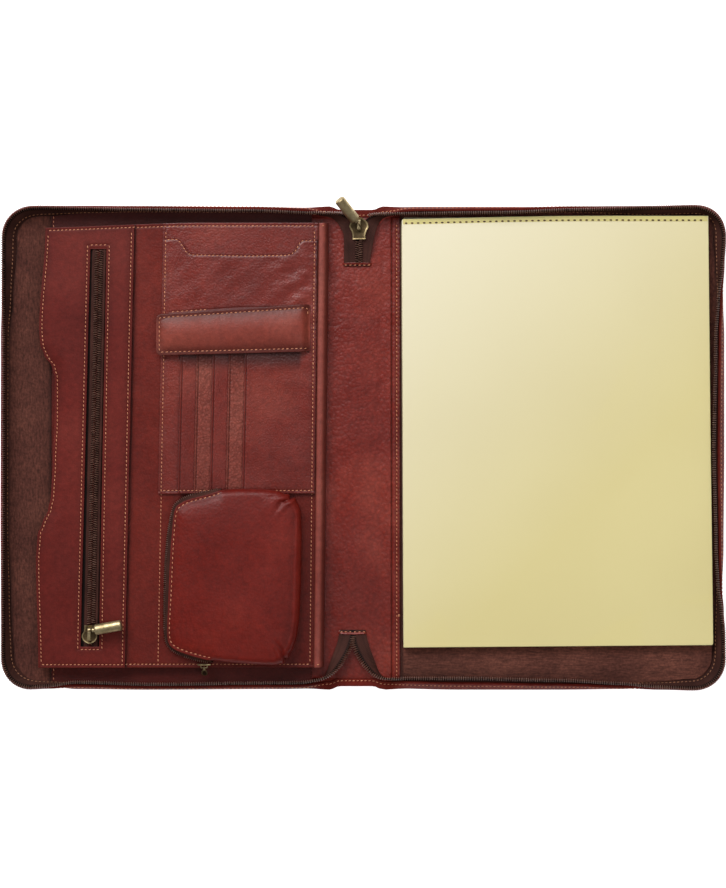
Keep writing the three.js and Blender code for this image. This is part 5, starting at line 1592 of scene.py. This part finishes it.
def lay_band(rows, columns):
    x, y, z = band_spot(columns[:, 0].astype(int), rows[:, 0])
    return x, y, z, 0.25 * bell(rows[:, 0] - 0.85, 0.08)


band_columns = pair(np.arange(len(lip_line), dtype=float))
band = laid_sheet("pouch_zip_tape", pair(np.linspace(0, 1, 12)), band_columns, lay_band)
coat(band, TAPE)
thicken(band, 0.7, 0.0, 0.0)
keep(band, ["pouch_zip_band"])

# %% Teeth of the pouch
SMALL_PITCH, SMALL_RIB = 1.35, (RIB[0] * 0.72, RIB[1])
every = np.arange(2, len(lip_line) - 2)
low_spots, high_spots = (np.stack(band_spot(every, np.full(len(every), share)), 1) for share in (0.62, 0.36))
proud = np.column_stack([lip_out[every] * 0.55, np.full(len(every), 0.2)])
middle_spots = (low_spots + high_spots) / 2 + proud
reached = reached_along(middle_spots)
even = np.arange(1, reached[-1], SMALL_PITCH)
rib_up = unit(sampled(even, reached, high_spots - low_spots))
rib_on = unit(sampled(even, reached, np.gradient(middle_spots, axis=0)))
rib_turns = axes(rib_up, rib_on, np.cross(rib_up, rib_on))
small_teeth = copies("pouch_teeth", SMALL_RIB, rib_turns, sampled(even, reached, middle_spots), TEETH)
keep(small_teeth)

# %% [markdown]
# ## The writing pad
# The pad is a block of yellow leaves, bound at the head by a strip with a row of stitches, and it curls up
# a little at the foot. Its board goes into a cloth pocket at the foot of the right cover. The block is one
# sheet laid on its four corners and made thick; fine lines on its rim are the leaves.

# %% Paper block
PAD_CORNERS = np.array([(26.6, 158.9), (239.2, 161.1), (27.8, -138.3), (242.4, -136.6)])  # head, then foot
PAD_WIDTH, PAD_LENGTH, PAD_ROUND = 214.0, 297.0, 1.3
PAD_TOP, PAD_CURL, PAD_THICK, BINDING_WIDTH, BINDING_SEAM = 10.5, 1.4, 5.0, 3.6, 3.0
HOLDER_LEFT, HOLDER_TOP = 27.8, -116.4


def pad_spot(u, v):
    """A point of the top leaf: u goes across, v from head to foot."""
    head_left, head_right, foot_left, foot_right = PAD_CORNERS
    u, v = np.asarray(u)[..., None], np.asarray(v)[..., None]
    flat = (head_left * (1 - u) + head_right * u) * (1 - v) + (foot_left * (1 - u) + foot_right * u) * v
    x, y = flat[..., 0], flat[..., 1]
    u, v = u[..., 0], v[..., 0]
    y = y + 1.0 * np.sin(math.pi * u) ** 1.5 * (1 - v) ** 6
    curl = PAD_CURL * ease(v, 0.5, 0.9) + 0.25 * np.sin(u * 5 + v * 3) * v * (1 - v) * 4
    return x, y, PAD_TOP + curl


def lay_pad(rows, columns):
    u, v = across(columns, 0, PAD_WIDTH), -down(rows, 0, -PAD_LENGTH)
    left, top = rounded(u, v, PAD_ROUND)
    right, foot = rounded(PAD_WIDTH - left, PAD_LENGTH - top, PAD_ROUND)
    x, y, z = pad_spot((PAD_WIDTH - right) / PAD_WIDTH, (PAD_LENGTH - foot) / PAD_LENGTH)
    return x, y, z, np.zeros_like(x)


pad_steps = (0, 0.4, 0.9, 1.5, 3, 6)
pad = laid_sheet("pad_block", stepped(40, pad_steps), stepped(30, pad_steps), lay_pad)
coat(pad, PAPER, LEAVES)
thicken(pad, PAD_THICK, 0.3)
keep(pad, ["pad_paper"])


# %% Binding strip
def lay_binding(rows, columns):
    from_head = rows[:, 0] * BINDING_WIDTH
    x, y, z = pad_spot(0.003 + 0.994 * columns[:, 0], from_head / PAD_LENGTH + 0.0006)
    return x, y, z + 0.2 - 0.08 * bell(from_head - BINDING_SEAM, 0.5), np.zeros_like(x)


binding_rows = np.array([0, 0.1, 0.3, 0.5, 0.62, 0.7, 0.76, 0.82, 0.9, 1.0])
binding = laid_sheet("pad_binding", pair(binding_rows), pair(np.linspace(0, 1, 60)), lay_binding)
coat(binding, BINDING)
thicken(binding, 0.15, 0.0)
keep(binding)


# %% Cloth pocket for the board
def lay_pocket(rows, columns):
    x0 = HOLDER_LEFT + (HALF_WIDTH - HOLDER_LEFT) * columns[:, 0]
    y0 = HOLDER_TOP - (HALF_HEIGHT + HOLDER_TOP) * rows[:, 0]
    x, y, weight = inside_wall(x0, y0, 4.1)
    sag = 0.25 * np.sin(x0 / 23) * (1 - weight)
    return x, y, 6.2 - 1.4 * ease(weight, 0.35, 0.95) + 0.3 * sag, bell(y0 - HOLDER_TOP, 1.5)


pocket_rows, pocket_columns = np.linspace(0, 1, 34), np.linspace(0, 1, 90)
pad_pocket = laid_sheet("pad_holder", pair(pocket_rows), pair(pocket_columns), lay_pocket)
coat(pad_pocket, CROSS_SUEDE)
thicken(pad_pocket, 0.8, 0)
keep(pad_pocket, ["pad_pocket"])
refinish("pad_board", BOARD)

# %% [markdown]
# ## Sliders
# A slider is a small brass casting: a body that is wide where the two rows come in and narrow where the
# closed chain leaves, a raised rim, and a bow that holds the pull. The body is a cylinder whose points are
# moved to the outline; the top is inset and pressed in; the slot and channel are cut with a Boolean.

# %% A plate with an outline
HALF_SLIDER = [
    (1, 0.16), (0.97, 0.33), (0.87, 0.54), (0.7, 0.73), (0.47, 0.88), (0.22, 0.97), (0, 1),
    (0.94, 0), (0.79, -0.22), (0.71, -0.42), (0.66, -0.65), (0.68, -0.88), (0.68, -1), (0.3, -0.98),
]
OTHER_HALF = [(-x, y) for x, y in HALF_SLIDER]
SLIDER_SHAPE = np.array(HALF_SLIDER[:7] + OTHER_HALF[5::-1] + OTHER_HALF[7:] + HALF_SLIDER[:6:-1])


def cast_plate(name, outline, low, high):
    """A cylinder whose rim is moved to the outline, in millimetres."""
    count = len(outline)
    let_go()
    bpy.ops.mesh.primitive_cylinder_add(vertices=count, radius=1, depth=2)
    piece = bpy.context.object
    piece.name = piece.data.name = name
    spots = points_of(piece)
    first = math.atan2(spots[0][1], spots[0][0])
    turn = (np.arctan2(spots[:, 1], spots[:, 0]) - first) % (2 * math.pi)
    index = np.rint(turn / (2 * math.pi) * count).astype(int) % count
    lay_points(piece, np.column_stack([outline[index], np.where(spots[:, 2] > 0, high, low)]))
    coat(piece, AGED_BRASS, PATINA)
    return piece


def press_in(piece, level, inset, depth, way=1):
    """Insets the face at one level and presses it in, which leaves a raised rim."""
    choose_faces(piece, lambda face: abs(face.center.z / MM - level) < 0.01 and face.normal.z * way > 0.9)
    edit(
        piece,
        lambda: bpy.ops.mesh.inset(thickness=inset * MM),
        lambda: bpy.ops.transform.translate(value=(0, 0, -depth * way * MM)),
    )
    for face in piece.data.polygons:
        face.material_index = 1 if face.select else face.material_index


def cut_box(piece, low, high):
    let_go()
    bpy.ops.mesh.primitive_cube_add(size=1)
    cutter = bpy.context.object
    low, high = np.array(low), np.array(high)
    lay_points(cutter, points_of(cutter) * (high - low) + (low + high) / 2)
    apply_modifier(piece, "BOOLEAN", operation="DIFFERENCE", object=cutter, solver="EXACT")
    bpy.data.objects.remove(cutter)


def join(first, *others):
    let_go()
    for piece in (first, *others):
        piece.select_set(True)
    bpy.context.view_layer.objects.active = first
    bpy.ops.object.join()
    return first


def put(piece, turn, place):
    lay_points(piece, points_of(piece) / MM @ np.asarray(turn).T + np.asarray(place))


print("slider outline", len(SLIDER_SHAPE), "points")


# %% Slider body and bow
def bow(name, foot, centre, half, rise, width, thickness):
    """The bar that holds the pull: up from the body, along, and down again."""
    bend = 1.1 * min(1, half / 3)
    turns = np.linspace(0, math.pi / 2, 7)
    up = [(centre - half, foot)] + [
        (centre - half + bend - bend * math.cos(t), foot + rise - bend + bend * math.sin(t)) for t in turns
    ]
    line = np.array(up + [(2 * centre - y, z) for y, z in reversed(up)])
    columns = np.array([(-1, 0), (-0.6, 0), (0, 0), (0.6, 0), (1, 0)], float)
    rows = np.column_stack([np.arange(len(line))[::-1], np.zeros(len(line))]).astype(float)

    def lay(rows, columns):
        y, z = line[rows[:, 0].astype(int)].T
        return columns[:, 0] * width / 2, y, z, 0.0

    piece = laid_sheet(name, rows, columns, lay)
    coat(piece, BRASS)
    thicken(piece, thickness, 0.28)
    return piece


def slider(name, size, bow_centre, bow_half, rise, half_only=False):
    width, length, deep = 6.6 * size, 7.7 * size, 2.7 * size
    outline = SLIDER_SHAPE * (width, length)
    body = cast_plate(name, outline, 1.4 * size if half_only else -deep, deep)
    press_in(body, deep, 0.95 * size, 0.45 * size)
    if not half_only:
        cut_box(body, (-width - 1, -length - 1, -0.95 * size), (width + 1, length * 0.28, 0.95 * size))
        for way in (-1, 1):
            low, high = sorted((way * 1.1 * size, way * (width + 1)))
            cut_box(body, (low, length * 0.1, -0.95 * size), (high, length + 1, 0.95 * size))
    round_edges(body, 0.26 * size)
    sunk, bow_width = 0.5 * size, 2.4 * min(1, size + 0.1)
    holder = bow(f"{name}_bow", deep - sunk, bow_centre, bow_half, rise + sunk, bow_width, size)
    body = join(body, holder)
    body.name = body.data.name = name
    smooth(body, 40)
    return body


# %% The three sliders
def turned(yaw, lift=0.0):
    """Axes of a pull that points along its own +y: lifted about x, then turned about z."""
    c, s = math.cos(math.radians(yaw)), math.sin(math.radians(yaw))
    cl, sl = math.cos(math.radians(lift)), math.sin(math.radians(lift))
    return np.array([(c, -s, 0), (s, c, 0), (0, 0, 1)]) @ np.array([(1, 0, 0), (0, cl, -sl), (0, sl, cl)])


main_slider = slider("wall_slider", 1.0, 2.0, 3.6, 4.05)
put(main_slider, turned(0), (-3.2, 152.6, 6.5))
keep(main_slider, ["main_slider"])
pocket_slider = slider("window_slider", 0.82, -0.1, 4.5, 4.05)
put(pocket_slider, turned(178.6), (-189.5, -129.0, 13.3))
keep(pocket_slider, ["pocket_slider"])
pouch_slider = slider("small_slider", 0.6, 0.0, 2.5, 2.05, half_only=True)
put(pouch_slider, axes((0, 0, 1), (-1, 0, 0), (0, -1, 0)), (-110.2, -148.5, 16.6))
keep(pouch_slider, ["pouch_slider"])

# %% [markdown]
# ## Pulls
# The two larger zips have a barrel pull: a turned rod with a narrow neck and a ring that goes round the
# slider's bow. It is spun from a profile. The pouch has a small flat drop with a hole. Each pull is its own
# body and turns about the bow.

# %% Barrel pulls
BARREL = [
    (0.0, 23.2), (2.4, 23.2), (3.15, 23.0), (3.55, 22.55), (3.7, 21.9), (3.7, 5.4), (3.55, 4.7), (3.1, 4.3),
    (2.2, 4.1), (1.4, 4.0), (1.4, 2.3), (0.0, 2.3),
]


def wire_ring(radius, wire, segments, finish):
    """A ring that stands upright, to go round a slider's bow."""
    let_go()
    sizes = {"major_radius": radius * MM, "minor_radius": wire * MM}
    sizes.update(major_segments=segments[0], minor_segments=segments[1])
    bpy.ops.mesh.primitive_torus_add(rotation=(0, math.pi / 2, 0), **sizes)
    ring = bpy.context.object
    bpy.ops.object.transform_apply(location=True, rotation=True, scale=True)
    coat(ring, finish)
    return ring


def barrel_pull(name, yaw, lift, pivot, nodes):
    let_go()
    bpy.ops.mesh.primitive_circle_add(vertices=len(BARREL), radius=1)
    barrel = bpy.context.object
    barrel.name = barrel.data.name = name
    lay_points(barrel, [(r, y, 0) for r, y in BARREL])
    last = len(BARREL) - 1
    edit(barrel, choose_none)
    for edge in barrel.data.edges:
        edge.select = set(edge.vertices) == {0, last}
    edit(
        barrel,
        lambda: bpy.ops.mesh.select_mode(type="EDGE"),
        lambda: bpy.ops.mesh.delete(type="EDGE"),
        choose_all,
        lambda: bpy.ops.mesh.spin(steps=28, angle=2 * math.pi, center=(0, 0, 0), axis=(0, 1, 0)),
        choose_all,
        lambda: bpy.ops.mesh.remove_doubles(threshold=0.002 * MM),
        lambda: bpy.ops.mesh.normals_make_consistent(inside=False),
    )
    coat(barrel, BRASS)
    pull = join(barrel, wire_ring(2.45, 0.45, (28, 10), PATINA))
    smooth(pull, 40)
    put(pull, turned(yaw - 90, lift), pivot)
    return keep(pull, nodes, nodes[0])


barrel_pull("wall_pull", 129.5, 22.0, (-3.2, 154.8, 13.25), ["main_pull"])
barrel_pull("window_pull", 10.4, 2.5, (-189.5, -126.2, 19.564), ["pocket_pull"])

# %% Small flat pull
sweep = np.linspace(0, math.pi, 11)
drop_top = [(2.1 * math.cos(t), 6.5 + 2.1 * math.sin(t)) for t in sweep]
drop_side = [(0.95, 2.6), (1.5, 3.4), (2.0, 4.6)]
DROP = np.array(drop_side + drop_top + [(-x, y) for x, y in drop_side[::-1]] + [(-0.8, 1.4), (0.8, 1.4)])
HALF_DROP = 0.65
drop = cast_plate("small_pull", DROP, -HALF_DROP, HALF_DROP)
for way in (-1, 1):
    press_in(drop, HALF_DROP * way, 0.7, 0.25, way)
round_edges(drop, 0.2)
small_pull = join(drop, wire_ring(1.38, 0.3, (20, 8), BRASS))
smooth(small_pull, 40)
put(small_pull, turned(-180, -52), (-110.2, -152.166, 16.6))
keep(small_pull, ["pouch_pull"], "pouch_pull")

# %% [markdown]
# ## Stitching
# Tan waxed thread shows along every seam: about nine stitches to the inch, each a short bead whose ends
# dive into the leather. One stitch is modelled and copied along each row. Rows on flat leather are dropped
# from above on to the pieces they sew; rows on the zip walls follow the wall's own formula.

# %% One stitch
STITCH_PITCH, STITCH_SLANT, STITCH_HALF, STITCH_THICK = 2.75, 9.0, 0.9, 0.3
FLAP_PITCH, POUCH_PITCH, LIP_PITCH, TACK_PITCH = 3.1, 3.2, 3.0, 1.4
bead = small_ball("stitch", 8, 6, (STITCH_HALF, STITCH_THICK, STITCH_THICK))
bead_spots, bead_faces = shape_of(bead)
bead_spots[:, 2] -= 0.26 * (np.abs(bead_spots[:, 0]) / STITCH_HALF) ** 4
STITCH = (bead_spots, bead_faces)
thread_rows = {"organizer": [], "covers": [], "tapes": []}
thread_finishes = {"organizer": THREAD, "covers": THREAD, "tapes": TAPE_THREAD}
print("stitch", len(STITCH[1]), "faces")


# %% Laying a row of stitches
def spread_out(line, pitch):
    """Evenly spaced points along a line and the way it runs there."""
    line = np.asarray(line, float)
    reached = reached_along(line)
    count = max(1, int(round(reached[-1] / pitch)))
    at = (np.arange(count) + 0.5) * reached[-1] / count
    spots = sampled(at, reached, line)
    ahead = sampled(at + 0.3, reached, line)
    behind = sampled(at - 0.3, reached, line)
    return spots, unit(ahead - behind)


def lay_stitches(places, onward, normals, where):
    """Turns each stitch along its row, a little slanted, flat on the surface."""
    onward = unit(onward - normals * np.sum(onward * normals, axis=1, keepdims=True))
    aside = np.cross(normals, onward)
    c, s = math.cos(math.radians(STITCH_SLANT)), math.sin(math.radians(STITCH_SLANT))
    first, second = onward * c + aside * s, aside * c - onward * s
    thread_rows[where].append((axes(first, second, normals), places + normals * 0.1))


trees = {}


def tree_of(piece):
    if piece.name not in trees:
        faces = [list(face.vertices) for face in piece.data.polygons]
        trees[piece.name] = BVHTree.FromPolygons([v.co.copy() for v in piece.data.vertices], faces)
    return trees[piece.name]


def drop_row(line, pieces, where="organizer", pitch=STITCH_PITCH):
    """Drops a row of stitches on to the highest of the pieces below it."""
    spots, ways = spread_out(line, pitch)
    places, onward, normals = [], [], []
    for (x, y), (way_x, way_y) in zip(spots, ways):
        hits = [tree_of(p).ray_cast(Vector((x * MM, y * MM, 0.05)), Vector((0, 0, -1))) for p in pieces]
        hits = [hit for hit in hits if hit[0] is not None]
        if hits:
            best = max(hits, key=lambda hit: hit[0].z)
            places.append(np.array(best[0]) / MM)
            normals.append(np.array(best[1]) if best[1].z > 0 else -np.array(best[1]))
            onward.append((way_x, way_y, 0))
    if places:
        lay_stitches(np.array(places), np.array(onward, float), np.array(normals), where)


def upright(edge, top, foot, offset=0.0):
    y = np.linspace(top, foot, 80)
    return np.column_stack([edge(y) + offset, head_slope(edge(y) + offset, y)])

# %% Rows of the organizer
ROW_TOP, ROW_FOOT = PANEL_TOP - 2.2, PANEL_FOOT + 2.4
on_panel = [panel, zip_front, backing]
on_cards = [panel, backing, scoop, card_pieces["card_front"]]
drop_row(upright(thumb_edge, ROW_TOP - 3, ROW_FOOT + 1.4, 2.4), [zip_front])
for level in (ROW_TOP, ROW_FOOT):
    level_x = np.linspace(thumb_edge(level) + 2.4, panel_right(level) - 3, 60)
    drop_row(np.column_stack([level_x, head_slope(level_x, level)]), on_panel)
    on_roll = panel_right(level) + np.array([1.4, 4.6])
    drop_row(np.column_stack([on_roll, head_slope(on_roll, level)]), [roll])
drop_row(upright(zip_front_edge, ROW_TOP - 3, ROW_FOOT + 1.4, -1.9), [zip_front])
window_top, window_foot = WINDOW_TOP + SEAM, WINDOW_FOOT - SEAM


def near_side(y):
    return window_line(y) - window_width(y) / 2 - SEAM


def far_side(y):
    return window_line(y) + window_width(y) / 2 + SEAM


for edge in (near_side, far_side):
    drop_row(upright(edge, window_top, window_foot), [zip_front])
for level in (window_top, window_foot):
    level_x = np.linspace(near_side(level) + 1.5, far_side(level) - 1.5, 8)
    drop_row(np.column_stack([level_x, head_slope(level_x, level)]), [zip_front])
drop_row(upright(card_edge, ROW_TOP - 3, ROW_FOOT + 1.4, SEAM), on_cards[:3])
drop_row(upright(panel_right, ROW_TOP - 3, ROW_FOOT + 1.4, -RIGHT_SEAM), on_cards)
mouth_x = np.linspace(-136.4, -35.5, 200)
mouth_slope = (mouth_edge(mouth_x + 0.3) - mouth_edge(mouth_x - 0.3)) / 0.6
mouth_row = mouth_edge(mouth_x) - SCOOP_SEAM * np.sqrt(1 + mouth_slope**2)
drop_row(np.column_stack([mouth_x, mouth_row]), [scoop])
card_row = [(card_edge(CARD_ROW) + 3, CARD_ROW), (panel_right(CARD_ROW) - 3.4, CARD_ROW)]
drop_row(card_row, [backing, *card_pieces.values()])
print("rows", len(thread_rows["organizer"]))

# %% Rows of the flap, pouch and spine
corner_turns = np.linspace(0, math.pi / 2, 6)
head_y, foot_y = flap_top(FLAP_LEFT + 4), flap_foot(FLAP_LEFT + 4)
flap_line = [(FLAP_RIGHT - 2, flap_top(FLAP_RIGHT) - drop) for drop in (7.5, 3.6)]
flap_line += [(FLAP_RIGHT - 3.2, flap_top(FLAP_RIGHT - 3.2) - FLAP_SEAM)]
flap_line += [(FLAP_LEFT + 4 - 1.7 * math.sin(t), head_y - 4 + 1.7 * math.cos(t)) for t in corner_turns]
flap_line += [(FLAP_LEFT + 4 - 1.7 * math.cos(t), foot_y + 4 - 1.7 * math.sin(t)) for t in corner_turns]
flap_line += [(FLAP_RIGHT - 2, flap_foot(FLAP_RIGHT - 2) + FLAP_SEAM)]
drop_row(flap_line, [flap], pitch=FLAP_PITCH)
drop_row([(x, flap_top(x) + 1.2) for x in (HINGE_LEFT + 1.2, -108)], [hinge], pitch=FLAP_PITCH)
drop_row(lip_line - lip_out * LIP_ROW, [pouch], pitch=POUCH_PITCH)
for mouth, sewn, left, right in SLITS.values():
    level = mouth + (sewn - mouth) * LIP_SEAM
    drop_row([(left + 1.2, level), (right - 1.2, level)], slit_lips, "covers", pitch=LIP_PITCH)
drop_row([(HEM_SEAM, 156), (HEM_SEAM, -159.5)], [spine], "covers")
for end in (1, -1):
    drop_row([(SEAM_LEFT + 1.6, 162 * end), (SEAM_LEFT + 1.6, 153 * end)], [base], "covers")
for level in (-116.2, -117.0):
    drop_row([(23.9, level), (25.4, level)], [spine], "covers", pitch=TACK_PITCH)
print("rows", {where: len(rows) for where, rows in thread_rows.items()})

# %% Rows of the zip walls
loop = cover_loop(1.0)
not_under = np.zeros(len(loop))
rim_spots, rim_above = (
    skin_point(loop, not_under, not_under, np.full(len(loop), climb)) for climb in (RIM_SEAM, RIM_SEAM + 0.08)
)
reached = reached_along(rim_spots)
even = np.arange(1, reached[-1], STITCH_PITCH)
rim_on = unit(sampled(even, reached, np.gradient(rim_spots, axis=0)))
rim_out = unit(np.cross(sampled(even, reached, rim_above - rim_spots), rim_on))
rim_middle = sampled(even, reached, rim_spots)
outwards = np.column_stack([rim_middle[:, :2] / 200, np.full(len(rim_middle), 0.6)])
rim_out *= np.sign(np.sum(rim_out * outwards, axis=1))[:, None]
lay_stitches(rim_middle, rim_on, rim_out, "covers")
UNSEWN = 24  # stations at each end of a tape without stitches
for side in (-1, 1):
    coil, edge = ROUTES[side]
    _, _, face = frame_along(ROUTES[side])
    inner_face = face * side
    line = edge + (coil - edge) * TAPE_SEAM + inner_face * 0.5
    spots, ways = spread_out(line[UNSEWN:-UNSEWN], STITCH_PITCH)
    nearest = np.argmin(np.linalg.norm(line[None] - spots[:, None], axis=2), axis=1)
    lay_stitches(spots, ways, inner_face[nearest], "tapes")

# %% Make the thread
for where, rows in thread_rows.items():
    turns = np.concatenate([row[0] for row in rows])
    places = np.concatenate([row[1] for row in rows])
    thread = copies(f"thread_{where}", STITCH, turns, places, thread_finishes[where])
    keep(thread)
    print(where, len(places), "stitches")

# %% Dashes along the pad's binding
DASH_PITCH, DASH_MARGIN, DASH_LIFT = 4.2, 3.0, 0.24
DASH = (STITCH[0] * (1.15, 1.9, 1.2), STITCH[1])
dash_u = np.arange(DASH_MARGIN, PAD_WIDTH - DASH_MARGIN, DASH_PITCH) / PAD_WIDTH
dash_spots = np.column_stack(pad_spot(dash_u, np.full(len(dash_u), BINDING_SEAM / PAD_LENGTH)))
dash_spots[:, 2] += DASH_LIFT
dash_turns = np.broadcast_to(np.eye(3), (len(dash_u), 3, 3))
dashes = copies("binding_stitches", DASH, dash_turns, dash_spots, PAD_THREAD)
keep(dashes)
